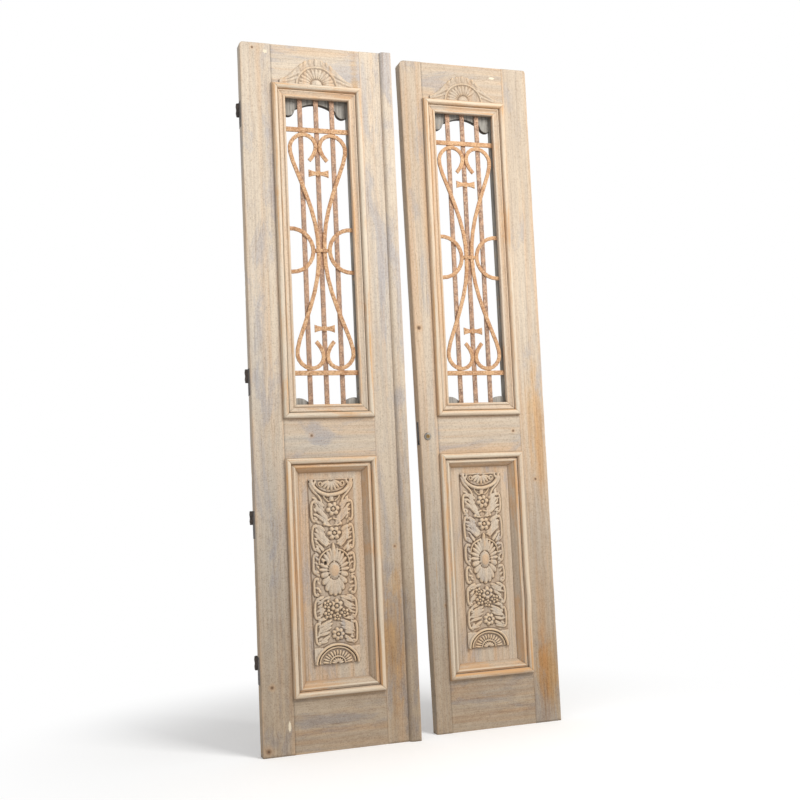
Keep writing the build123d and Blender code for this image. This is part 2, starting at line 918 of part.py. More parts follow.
def turn_button(leaf):
    """Turn button that swings across the casement's edge, rounded at both ends."""
    plane = leaf.plane(button_place(leaf), grille_middle, leaf_thickness + rest_clearance + button_thickness)
    with BuildPart() as button:
        with BuildSketch(plane):
            SlotOverall(button_length, button_width, rotation=90)
            Circle(pivot_radius + running_clearance, mode=Mode.SUBTRACT)
        extrude(amount=button_thickness)
    return button.part


def pivot_screw(leaf):
    """Round-headed screw on which the turn button swings."""
    under_head = leaf_thickness + 2 * rest_clearance + button_thickness
    head = under_head + pivot_radius
    point = leaf_thickness - pivot_depth
    with BuildPart() as screw:
        with BuildSketch(leaf.level(button_place(leaf), 0, grille_middle)):
            Polygon(
                (0, point),
                (pivot_radius, point),
                (pivot_radius, under_head),
                (2 * pivot_radius, under_head),
                (pivot_radius * 1.5, head),
                (0, head),
                align=None,
            )
        revolve(axis=Axis((button_place(leaf), leaf.front, grille_middle), (0, 1, 0)))
    return screw.part


# Lock of the right leaf
def lock_edge(leaf):
    """Where the tapered meeting edge lies at the height of the lock."""
    return leaf.meeting_edge + leaf.edge_taper * (1 - 2 * edge_plate_centre / leaf_height)


def box(leaf, x0, x1, z_middle, height, depth_middle, depth):
    """A block given by its middle height and middle depth."""
    return slab(
        leaf, x0, x1, z_middle - height / 2, z_middle + height / 2, depth_middle - depth / 2, depth_middle + depth / 2
    )


def cylinder_rod(leaf, radius, front, back):
    """Round bar along the axis of the lock's cylinder."""
    with BuildPart() as tube:
        with BuildSketch(leaf.plane(lock_edge(leaf) + cylinder_backset, cylinder_height, back)):
            Circle(radius)
        extrude(amount=back - front)
    return tube.part


def lock_pieces(leaf):
    """Mortise lock: case with edge plate, cylinder, key plug and dead bolt, and what they cut away."""
    edge = lock_edge(leaf)
    middle = leaf_thickness / 2
    plate_in = edge + edge_plate_thickness
    shell = box(leaf, plate_in, edge + lock_case_depth, lock_case_centre, lock_case_height, middle, lock_case_thickness)
    plate = box(leaf, edge, plate_in, edge_plate_centre, edge_plate_height, middle, edge_plate_width)
    channel_end = edge + bolt_recess + bolt_length + bolt_clearance
    channel = box(
        leaf,
        edge,
        channel_end,
        bolt_centre,
        bolt_height + 2 * bolt_clearance,
        middle,
        bolt_thickness + 2 * bolt_clearance,
    )
    barrel_back = leaf_thickness - cylinder_end
    barrel = cylinder_rod(leaf, cylinder_radius, 0, barrel_back)
    bore = cylinder_rod(leaf, plug_radius + running_clearance, -cylinder_ring_proud, barrel_back)
    plug_rod = cylinder_rod(leaf, plug_radius, -cylinder_ring_proud - plug_proud, barrel_back)
    with BuildPart() as case:
        add([shell, plate])
        add([channel, barrel], mode=Mode.SUBTRACT)
    with BuildPart() as cylinder:
        add(barrel)
        with BuildSketch(leaf.level(edge + cylinder_backset, 0, cylinder_height)):
            Polygon(
                (0, 0),
                (cylinder_ring_radius, 0),
                (cylinder_ring_radius - cylinder_ring_slope, -cylinder_ring_proud),
                (0, -cylinder_ring_proud),
                align=None,
            )
        revolve(axis=Axis((edge + cylinder_backset, leaf.front, cylinder_height), (0, 1, 0)))
        add(bore, mode=Mode.SUBTRACT)
    with BuildPart() as plug:
        add(plug_rod)
        with BuildSketch(leaf.plane(edge + cylinder_backset, cylinder_height, barrel_back - keyway_floor)):
            Rectangle(keyway_width, plug_radius * 1.3)
        extrude(amount=barrel_back + cylinder_ring_proud + plug_proud, mode=Mode.SUBTRACT)
    bolt_start = edge + bolt_recess
    bolt = box(leaf, bolt_start, bolt_start + bolt_length, bolt_centre, bolt_height, middle, bolt_thickness)
    pocket = box(
        leaf, edge - leaf_gap, plate_in, edge_plate_centre, edge_plate_height, middle, edge_plate_width
    )
    return case.part, cylinder.part, plug.part, bolt, [shell, pocket, barrel]


def strike_plate(leaf):
    """Keep for the other leaf's dead bolt, let into the meeting edge, and the pocket that it needs."""
    edge = leaf.meeting_edge
    middle = leaf_thickness / 2
    plate = box(
        leaf, edge - hinge_plate_thickness, edge, edge_plate_centre, edge_plate_height, middle, edge_plate_width
    )
    mouth = box(
        leaf,
        edge - keep_depth,
        edge,
        bolt_centre,
        bolt_height + 2 * keep_clearance,
        middle,
        bolt_thickness + 2 * keep_clearance,
    )
    with BuildPart() as keep:
        add(plate)
        add(mouth, mode=Mode.SUBTRACT)
    return keep.part, [plate, mouth]


# Surface bolts of the left leaf
def surface_bolts(leaf):
    """Top and bottom bolts on the back of the passive leaf, and their guide plates."""
    x = leaf.meeting_edge - rod_edge_distance
    plate_back = leaf_thickness + guide_plate_thickness
    axis = plate_back + rod_radius + rod_gap
    outer = rod_radius + staple_wall
    crown = [(point.X, point.Y) for point in bow((-outer, 0), (0, outer), (outer, 0))]
    arch = [(-outer, plate_back - axis)] + crown + [(outer, plate_back - axis)]
    rods = []
    guides = []
    for side in (1, -1):
        end = leaf_height - rod_setback if side > 0 else rod_setback
        far = end - side * rod_length
        guide_middle = end - side * (rod_length - guide_plate_height / 2 - guide_end_gap)
        with BuildPart() as rod:
            with BuildSketch(leaf.level(x, axis, min(end, far))):
                Circle(rod_radius)
            extrude(amount=rod_length)
            with BuildSketch(leaf.plane(x, guide_middle, axis)):
                Circle(knob_radius)
            extrude(amount=-knob_reach - rod_radius)
        rods.append(rod.part)
        base = slab(
            leaf,
            x - guide_plate_width / 2,
            x + guide_plate_width / 2,
            guide_middle - guide_plate_height / 2,
            guide_middle + guide_plate_height / 2,
            leaf_thickness,
            plate_back,
        )
        with BuildPart() as guide:
            add(base)
            for place in (-1, 1):
                centre = guide_middle + place * (guide_plate_height / 2 - staple_height)
                with BuildSketch(leaf.level(x, axis, centre - staple_height / 2)):
                    Polygon(*arch, align=None)
                    Circle(rod_radius + running_clearance, mode=Mode.SUBTRACT)
                extrude(amount=staple_height)
        guides.append(guide.part)
    return rods[0], rods[1], group(guides)


def make_leaf(leaf, edge_cutters):
    """Build and write every piece that both leaves have."""
    name = leaf.name
    screws = hinge_screws(leaf)
    pivot = pivot_screw(leaf)
    hinges = door_hinges(leaf, screws)
    save(f"{name}_screws", group(screws + [pivot]))
    save(f"{name}_door_hinges", hinges)
    rails = [rail(leaf, low, high, edge_cutters) for low, high in rail_spans().values()]
    for key, board in zip(rail_spans(), rails):
        save(f"{name}_{key}", board)
    inner = leaf.hinge_edge + leaf.inward * leaf.hinge_stile
    outer = leaf.meeting_edge - leaf.inward * leaf.meeting_stile
    hinge_x = sorted((leaf.hinge_edge, inner))
    meeting_x = sorted((leaf.meeting_edge, outer))
    save(f"{name}_hinge_stile", stile(leaf, *hinge_x, rails, [hinges] + screws))
    save(f"{name}_meeting_stile", stile(leaf, *meeting_x, rails, [pivot] + edge_cutters, leaf.edge_taper))
    save(f"{name}_turn_button", turn_button(leaf))
    low = bottom_rail_height
    panel_back = panel_recess + panel_thickness
    lower_panel = slab(
        leaf, leaf.opening_left, leaf.opening_right, low, lower_opening_top, panel_recess, panel_back
    )
    save(f"{name}_lower_panel", lower_panel)
    plaque_middle = low + lower_moulding_width + plaque_foot_gap + plaque_height / 2
    save(f"{name}_carved_plaque", planted(carved_plaque, leaf.plane(leaf.column, plaque_middle, panel_recess)))
    save(f"{name}_crest_carving", planted(carved_crest, leaf.plane(leaf.column, upper_opening_top)))
    upper = moulding(leaf, upper_opening_bottom, upper_opening_top, upper_profile)
    lower = moulding(leaf, low, lower_opening_top, lower_profile)
    save(f"{name}_upper_moulding_sides", upper[0])
    save(f"{name}_upper_moulding_ends", upper[1])
    save(f"{name}_lower_moulding_sides", lower[0])
    save(f"{name}_lower_moulding_ends", lower[1])
    save(f"{name}_grille_uprights", upright_bars(leaf))
    save(f"{name}_grille_crossbars", crossbars(leaf))
    save(f"{name}_grille_scrolls", scrolls(leaf))
    save(f"{name}_grille_hoops", hoops(leaf))
    save(f"{name}_grille_bow_ties", bow_ties(leaf))
    save(f"{name}_grille_collar", collar(leaf))
    fixed, turning = casement_hinges(leaf)
    save(f"{name}_casement_hinge_pins", fixed)
    save(f"{name}_casement_hinge_leaves", turning)
    save(f"{name}_casement_stiles", casement_stiles(leaf))
    save(f"{name}_casement_rails", casement_rails(leaf))


os.makedirs("parts", exist_ok=True)

keep, keep_cutters = strike_plate(left_leaf)
make_leaf(left_leaf, keep_cutters)
save("left_strike_plate", keep)
save("left_cover_strip", cover_strip(left_leaf))
top_rod, bottom_rod, rod_guides = surface_bolts(left_leaf)
save("left_top_bolt", top_rod)
save("left_bottom_bolt", bottom_rod)
save("left_bolt_guides", rod_guides)

case, cylinder, plug, dead_bolt, lock_cutters = lock_pieces(right_leaf)
make_leaf(right_leaf, lock_cutters)
save("right_lock_case", case)
save("right_lock_cylinder", cylinder)
save("right_key_plug", plug)
save("right_dead_bolt", dead_bolt)
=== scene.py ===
import math

import bmesh
import bpy
import numpy as np
from mathutils import Matrix, Vector


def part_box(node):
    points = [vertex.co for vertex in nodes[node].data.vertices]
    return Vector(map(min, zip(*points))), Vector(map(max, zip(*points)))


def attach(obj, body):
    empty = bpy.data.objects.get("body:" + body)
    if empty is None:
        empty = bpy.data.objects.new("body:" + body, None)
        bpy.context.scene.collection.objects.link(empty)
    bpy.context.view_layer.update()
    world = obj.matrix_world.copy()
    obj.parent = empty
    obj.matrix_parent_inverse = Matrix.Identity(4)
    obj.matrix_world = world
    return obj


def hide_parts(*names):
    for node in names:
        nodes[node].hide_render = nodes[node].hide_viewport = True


# Two old pine door leaves with carved plaques and crests, iron grilles and small grey casements.
# Lengths are in metres unless a name says mm.

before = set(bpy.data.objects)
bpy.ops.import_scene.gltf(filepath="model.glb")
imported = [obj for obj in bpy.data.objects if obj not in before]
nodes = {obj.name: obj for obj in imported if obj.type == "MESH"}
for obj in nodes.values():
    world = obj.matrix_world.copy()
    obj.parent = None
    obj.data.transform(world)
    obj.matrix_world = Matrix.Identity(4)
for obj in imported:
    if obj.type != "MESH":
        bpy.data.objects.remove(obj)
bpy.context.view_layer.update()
MM = 0.001

# Camera, measured from the photograph in the frame's own metres
CAMERA_PLACE = Vector((-1.1887, -3.4941, 0.8036))
CAMERA_FORWARD = Vector((0.31876, 0.94411, 0.08398))
CAMERA_UP = Vector((0.01623, -0.09403, 0.99544))
CAMERA_LENS = 49.4

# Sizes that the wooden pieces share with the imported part
TORUS_WIDTH = 19 * MM
TORUS_PROUD = 16 * MM
QUIRK = 1.5 * MM
FILLET = 5 * MM
BEAD = 9 * MM
UPPER_WIDTH = 45 * MM
LOWER_WIDTH = 48 * MM
LIP_DEPTH = 12 * MM
LIP_WIDTH = 12 * MM
LOCK_CASE_THICKNESS = 15 * MM
EDGE_PLATE_THICKNESS = 3 * MM
PLATE_FOOT = 961 * MM
PLATE_HEAD = 1039 * MM
KEEP_DEPTH = 24 * MM
KEEP_CLEARANCE = 2 * MM


def box_of(name):
    low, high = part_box(name)
    return np.array(low), np.array(high)


class Leaf:
    """Where one leaf's boards and openings lie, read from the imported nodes."""

    def __init__(self, name, hinge_side):
        self.name = name
        self.hinge_side = hinge_side
        rail_low, rail_high = box_of(f"{name}_bottom_rail")
        panel_low, panel_high = box_of(f"{name}_lower_panel")
        top_low, top_high = box_of(f"{name}_top_rail")
        lock_low, lock_high = box_of(f"{name}_lock_rail")
        self.front = rail_low[1]
        self.back = rail_high[1]
        self.left = panel_low[0]
        self.right = panel_high[0]
        self.middle = (self.left + self.right) / 2
        self.lower = (panel_low[2], panel_high[2])
        self.upper = (lock_high[2], top_low[2])
        self.top = top_high[2]
        self.panel_front = panel_low[1]
        self.panel_back = panel_high[1]


LEAVES = [Leaf("left", -1), Leaf("right", 1)]


# Smooth random fields
def value_noise(points, size, seed):
    """Smooth noise from -1 to 1 at each point, with features about `size` across on each axis."""
    q = np.asarray(points) / np.asarray(size, dtype=float) + seed * 17.31
    cell = np.floor(q).astype(np.int64)
    f = q - cell
    f = f * f * (3 - 2 * f)
    total = np.zeros(len(q))
    for corner in np.ndindex(2, 2, 2):
        c = (cell + np.array(corner)).astype(np.uint64)
        mixed = (c[:, 0] * 374761393 + c[:, 1] * 668265263 + c[:, 2] * 2246822519) & 0xFFFFFFFF
        mixed = ((mixed ^ (mixed >> np.uint64(13))) * 1274126177) & 0xFFFFFFFF
        mixed = (mixed ^ (mixed >> np.uint64(16))) & 0xFFFFFFFF
        weight = np.prod(np.where(np.array(corner) == 1, f, 1 - f), axis=1)
        total += weight * (mixed / 0xFFFFFFFF * 2 - 1)
    return total


def fractal(points, size, seed, octaves=3):
    size = np.asarray(size, dtype=float)
    total = 0
    for octave in range(octaves):
        total = total + value_noise(points, size / 2**octave, seed + octave * 7) / 2**octave
    return total / 1.5


# Meshes
def make_object(name, vertices, faces, attributes, smooth=True):
    """A mesh object from arrays, with one attribute per vertex for each entry of attributes."""
    mesh = bpy.data.meshes.new(name)
    mesh.from_pydata([tuple(v) for v in vertices], [], [tuple(f) for f in faces])
    for key, values in attributes.items():
        values = np.asarray(values, dtype=np.float32)
        kind = "FLOAT_VECTOR" if values.ndim == 2 else "FLOAT"
        layer = mesh.attributes.new(key, kind, "POINT")
        layer.data.foreach_set("vector" if values.ndim == 2 else "value", values.ravel())
    mesh.polygons.foreach_set("use_smooth", [smooth] * len(mesh.polygons))
    mesh.update()
    obj = bpy.data.objects.new(name, mesh)
    bpy.context.collection.objects.link(obj)
    return obj


def stand_for(obj, node, body="door_leaves"):
    """Put a piece in a node's place, on the body that carries it."""
    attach(obj, body)
    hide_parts(node)
    return obj


def joined(name, objects):
    """Several meshes made into one object."""
    bpy.ops.object.select_all(action="DESELECT")
    for obj in objects:
        obj.select_set(True)
    bpy.context.view_layer.objects.active = objects[0]
    bpy.ops.object.join()
    objects[0].name = name
    objects[0].data.name = name
    return objects[0]


def tube_faces(stations, ring):
    """Quads between successive closed rings, with an end face at both ends."""
    index = np.arange(stations * ring).reshape(stations, ring)
    nxt = np.roll(index, -1, axis=1)
    quads = np.stack([index[:-1], nxt[:-1], nxt[1:], index[1:]], axis=-1).reshape(-1, 4)
    faces = [tuple(q) for q in quads]
    faces.append(tuple(index[0][::-1]))
    faces.append(tuple(index[-1]))
    return faces


# Boards
def section_ring(a0, a1, d0, d1, radii, spacing):
    """Rounded rectangle: across and depth of each point, its outward normal and nearness to an edge.

    radii are those of the front low, front high, back high and back low corners.
    """
    corners = [(a0, d0), (a1, d0), (a1, d1), (a0, d1)]
    inward = [(1, 1), (-1, 1), (-1, -1), (1, -1)]
    starts = [180, 270, 0, 90]
    arc_steps = 4
    points = []
    normals = []
    for k in range(4):
        radius = radii[k]
        centre = np.array(corners[k]) + np.array(inward[k]) * radius
        for step in range(arc_steps + 1):
            angle = math.radians(starts[k] + 90 * step / arc_steps)
            direction = np.array([math.cos(angle), math.sin(angle)])
            points.append(centre + radius * direction)
            normals.append(direction)
        following = (k + 1) % 4
        target = np.array(corners[following]) + np.array(inward[following]) * radii[following]
        end_angle = math.radians(starts[k] + 90)
        end_direction = np.array([math.cos(end_angle), math.sin(end_angle)])
        begin = points[-1]
        finish = target + radii[following] * end_direction
        count = max(2, int(np.linalg.norm(finish - begin) / spacing[k]))
        for step in range(1, count):
            points.append(begin + (finish - begin) * step / count)
            normals.append(end_direction)
    points = np.array(points)
    normals = np.array(normals)
    gaps = [np.linalg.norm(points - np.array(corner), axis=1) for corner in corners]
    return points, normals, np.min(gaps, axis=0)


def board(name, low, high, along, seed, radii=(1, 1, 1, 1), wear=(1, 1, 1, 1), taper=None, bites=()):
    """A weathered board. Its long edges are rounded and chipped, and its faces follow the grain.

    along is 0 for a board that lies along X and 2 for an upright one. radii and wear are in mm, for the
    front low, front high, back high and back low edges. bites are worn corners: x, z, radius, x and z sense.
    """
    across = 2 - along
    front_step = 2.6 * MM
    spacing = (front_step, 5 * MM, 7 * MM, 5 * MM)
    rounding = [r * MM for r in radii]
    ring, normals, _ = section_ring(low[across], high[across], low[1], high[1], rounding, spacing)
    corner_places = [
        (low[across], low[1]),
        (high[across], low[1]),
        (high[across], high[1]),
        (low[across], high[1]),
    ]
    station_step = 7 * MM
    stations = max(4, int((high[along] - low[along]) / station_step))
    reach = np.linspace(low[along], high[along], stations + 1)
    size = len(ring)
    points = np.zeros((stations + 1, size, 3))
    points[:, :, across] = ring[None, :, 0]
    points[:, :, 1] = ring[None, :, 1]
    points[:, :, along] = reach[:, None]
    outward = np.zeros_like(points)
    outward[:, :, across] = normals[None, :, 0]
    outward[:, :, 1] = normals[None, :, 1]
    flat = points.reshape(-1, 3)
    stretch = np.full(3, 1.0)
    stretch[along] = 40.0
    ripple = fractal(flat, stretch * 5 * MM, seed, 2)
    waves = value_noise(flat, stretch * 30 * MM / 4, seed + 3)
    hollow = 0.12 * MM * (1 + ripple) + 0.3 * MM * (1 + waves) * 0.5
    edge_weight = np.zeros(len(flat))
    for place, amount in zip(corner_places, wear):
        gap = np.hypot(flat[:, across] - place[0], flat[:, 1] - place[1])
        near = np.exp(-((gap / (5.5 * MM)) ** 2))
        slow = value_noise(flat, 90 * MM, seed + 11 + amount)
        quick = fractal(flat, 16 * MM, seed + 23, 2)
        chips = np.clip(quick + 0.45 * slow - 0.5, 0, 1)
        hollow += near * amount * MM * (0.35 + 0.3 * slow + 3.2 * chips)
        edge_weight = np.maximum(edge_weight, near * np.clip(0.5 + slow + chips, 0, 1))
    flat = flat - outward.reshape(-1, 3) * np.clip(hollow, 0.05 * MM, 6 * MM)[:, None]
    if taper:
        edge_x, shift, height = taper
        share = np.clip(1 - np.abs(flat[:, 0] - edge_x) / (high[0] - low[0]), 0, 1)
        flat[:, 0] += shift * (1 - 2 * flat[:, 2] / height) * share
    for x, z, radius, x_sense, z_sense in bites:
        u = (flat[:, 0] - x) * x_sense
        w = (flat[:, 2] - z) * z_sense
        gap = np.hypot(u, w)
        outside = (u > 0) & (w > 0) & (gap > radius)
        shrink = np.where(outside, radius / np.maximum(gap, 1e-6), 1)
        flat[:, 0] = x + u * shrink * x_sense
        flat[:, 2] = z + w * shrink * z_sense
    grain = np.stack([flat[:, across], flat[:, 1], flat[:, along]], axis=1)
    grain = grain + np.array([seed * 0.731, seed * 0.377, seed * 1.913])
    faces = tube_faces(stations + 1, size)
    if along == 0:
        faces = [face[::-1] for face in faces]
    return make_object(name, flat, faces, {"grain": grain, "wear": edge_weight})


# Mouldings
def arc_through(start, middle, end, steps):
    """Points on the circle through three points, from the first to the last."""
    (ax, ay), (bx, by), (cx, cy) = start, middle, end
    d = 2 * (ax * (by - cy) + bx * (cy - ay) + cx * (ay - by))
    a2, b2, c2 = ax * ax + ay * ay, bx * bx + by * by, cx * cx + cy * cy
    ux = (a2 * (by - cy) + b2 * (cy - ay) + c2 * (ay - by)) / d
    uy = (a2 * (cx - bx) + b2 * (ax - cx) + c2 * (bx - ax)) / d
    radius = math.hypot(ax - ux, ay - uy)
    first = math.atan2(ay - uy, ax - ux)
    sweep = (math.atan2(cy - uy, cx - ux) - first) % (2 * math.pi)
    through = (math.atan2(by - uy, bx - ux) - first) % (2 * math.pi)
    if through > sweep:
        sweep -= 2 * math.pi
    return [
        (ux + radius * math.cos(first + sweep * k / steps), uy + radius * math.sin(first + sweep * k / steps))
        for k in range(steps + 1)
    ]


def torus_part(back):
    """Points and tones of the rounded outer edge and the quirk: (inward, proud, tone). The tone is painted light: high
    on the crown for a painted highlight, low on the outer side and in the quirk for painted shade.
    """
    radius = TORUS_WIDTH / 2
    spring = TORUS_PROUD - radius
    points = [(0, back, 0.32), (0, spring * 0.5, 0.45)]
    arc = arc_through((0, spring), (radius, TORUS_PROUD), (TORUS_WIDTH, spring), 12)
    for k, (u, v) in enumerate(arc):
        points.append((u, v, 0.55 + 0.45 * math.sin(math.pi * k / 12)))
    points.append((TORUS_WIDTH, 1 * MM, 0.0))
    points.append((TORUS_WIDTH + QUIRK, 1 * MM, 0.0))
    return points


# In both sections the third column is the painted light tone: high on the crowns for a painted highlight, low down the
# hollows, slopes and lips for painted shade.
def upper_section():
    cove = TORUS_WIDTH + FILLET
    bead = UPPER_WIDTH - BEAD
    points = torus_part(-26 * MM)
    points += [(TORUS_WIDTH + QUIRK + 0.3 * MM, 4.6 * MM, 0.8), (cove - 0.4 * MM, 5 * MM, 0.85)]
    hollow = arc_through((cove, 5 * MM), (cove + (bead - cove) * 0.45, 0.5 * MM), (bead, -1 * MM), 6)
    points += [(u, v, 0.45 - 0.25 * k / 6) for k, (u, v) in enumerate(hollow)]
    crown = arc_through((bead, -1 * MM), (bead + BEAD / 2, 3 * MM), (UPPER_WIDTH, -1 * MM), 8)
    points += [(u, v, 0.45 + 0.4 * math.sin(math.pi * k / 8)) for k, (u, v) in enumerate(crown[1:], 1)]
    points += [(UPPER_WIDTH, -LIP_DEPTH, 0.3), (UPPER_WIDTH - LIP_WIDTH, -LIP_DEPTH, 0.1)]
    points += [(UPPER_WIDTH - LIP_WIDTH, -26 * MM, 0.1)]
    return np.array(points)


def lower_section():
    bead = TORUS_WIDTH + FILLET
    cove = bead + BEAD
    recess = -22 * MM
    points = torus_part(recess)
    points += [(TORUS_WIDTH + QUIRK + 0.3 * MM, 2.7 * MM, 0.6), (bead - 0.4 * MM, 3 * MM, 0.5)]
    crown = arc_through((bead, 3 * MM), (bead + BEAD / 2, 6 * MM), (cove, 1 * MM), 8)
    points += [(u, v, 0.5 + 0.45 * math.sin(math.pi * k / 8)) for k, (u, v) in enumerate(crown)]
    slope = arc_through((cove, 1 * MM), (cove + 5 * MM, -8 * MM), (LOWER_WIDTH, recess + 0.3 * MM), 7)
    points += [(u, v, 0.42 - 0.3 * k / 7) for k, (u, v) in enumerate(slope[1:], 1)]
    points += [(LOWER_WIDTH, recess, 0.1)]
    return np.array(points)


def moulding_run(name, front, corner, inward, length, section, seed, lifts=()):
    """One mitred length of worn moulding. corner is the outer corner (x, z) that it starts from."""
    direction = np.array([inward[0], 0, inward[1]], dtype=float)
    out = np.array([0, -1.0, 0])
    along = np.cross(direction, out)
    start = np.array([corner[0], front, corner[1]])
    step = 6 * MM
    stations = max(6, int(length / step))
    share = np.linspace(0, 1, stations + 1)[:, None]
    u = section[None, :, 0]
    v = section[None, :, 1]
    s = u + (length - 2 * u) * share
    base = start + direction * u[..., None] + out * v[..., None] + along * s[..., None]
    flat = base.reshape(-1, 3)
    local = np.stack([np.broadcast_to(u, s.shape), np.broadcast_to(v, s.shape), s], axis=-1).reshape(-1, 3)
    # The section's tone goes to the material as painted highlight and painted shade.
    tone = np.broadcast_to(section[None, :, 2], s.shape).ravel()
    proud = np.clip((local[:, 1] + 2 * MM) / (10 * MM), 0, 1)
    slow = value_noise(local, (60 * MM, 60 * MM, 110 * MM), seed)
    quick = fractal(local, (7 * MM, 7 * MM, 16 * MM), seed + 5, 2)
    dents = np.clip(quick + 0.4 * slow - 0.62, 0, 1) * 2.6 * MM
    soft = 0.25 * MM * (1 + slow) + 0.12 * MM * (1 + quick)
    # the section's own outward normal, from its neighbours
    before = np.roll(section[:, :2], 1, axis=0)
    after = np.roll(section[:, :2], -1, axis=0)
    tangent = after - before
    normal = np.stack([-tangent[:, 1], tangent[:, 0]], axis=1)
    normal /= np.linalg.norm(normal, axis=1)[:, None]
    normal = np.broadcast_to(normal[None], s.shape + (2,)).reshape(-1, 2)
    push = (soft + dents) * proud
    flat = flat - (direction * normal[:, :1] + out * normal[:, 1:]) * push[:, None]
    for centre, spread, height in lifts:
        bump = np.exp(-(((local[:, 2] - centre) / spread) ** 2))
        flat = flat + (-direction * 0.5 + out) * (height * bump * proud)[:, None]
    grain = local + np.array([seed * 0.571, seed * 0.233, seed * 1.371])
    wear = np.clip(dents / (1.5 * MM), 0, 1) * proud
    faces = tube_faces(stations + 1, len(section))
    faces = [face[::-1] for face in faces]
    return make_object(name, flat, faces, {"grain": grain, "tone": tone, "wear": wear})


def moulding_set(leaf, which, low, high, section, seed, lifts):
    left, right, front = leaf.left, leaf.right, leaf.front
    height = high - low
    width = right - left
    prefix = f"{leaf.name}_{which}_moulding"
    sides = [
        moulding_run("a", front, (left, high), (1, 0), height, section, seed, lifts.get("left", ())),
        moulding_run("b", front, (right, low), (-1, 0), height, section, seed + 1, lifts.get("right", ())),
    ]
    ends = [
        moulding_run("c", front, (right, high), (0, -1), width, section, seed + 2),
        moulding_run("d", front, (left, low), (0, 1), width, section, seed + 3),
    ]
    return joined(f"worn_{prefix}_sides", sides), joined(f"worn_{prefix}_ends", ends)


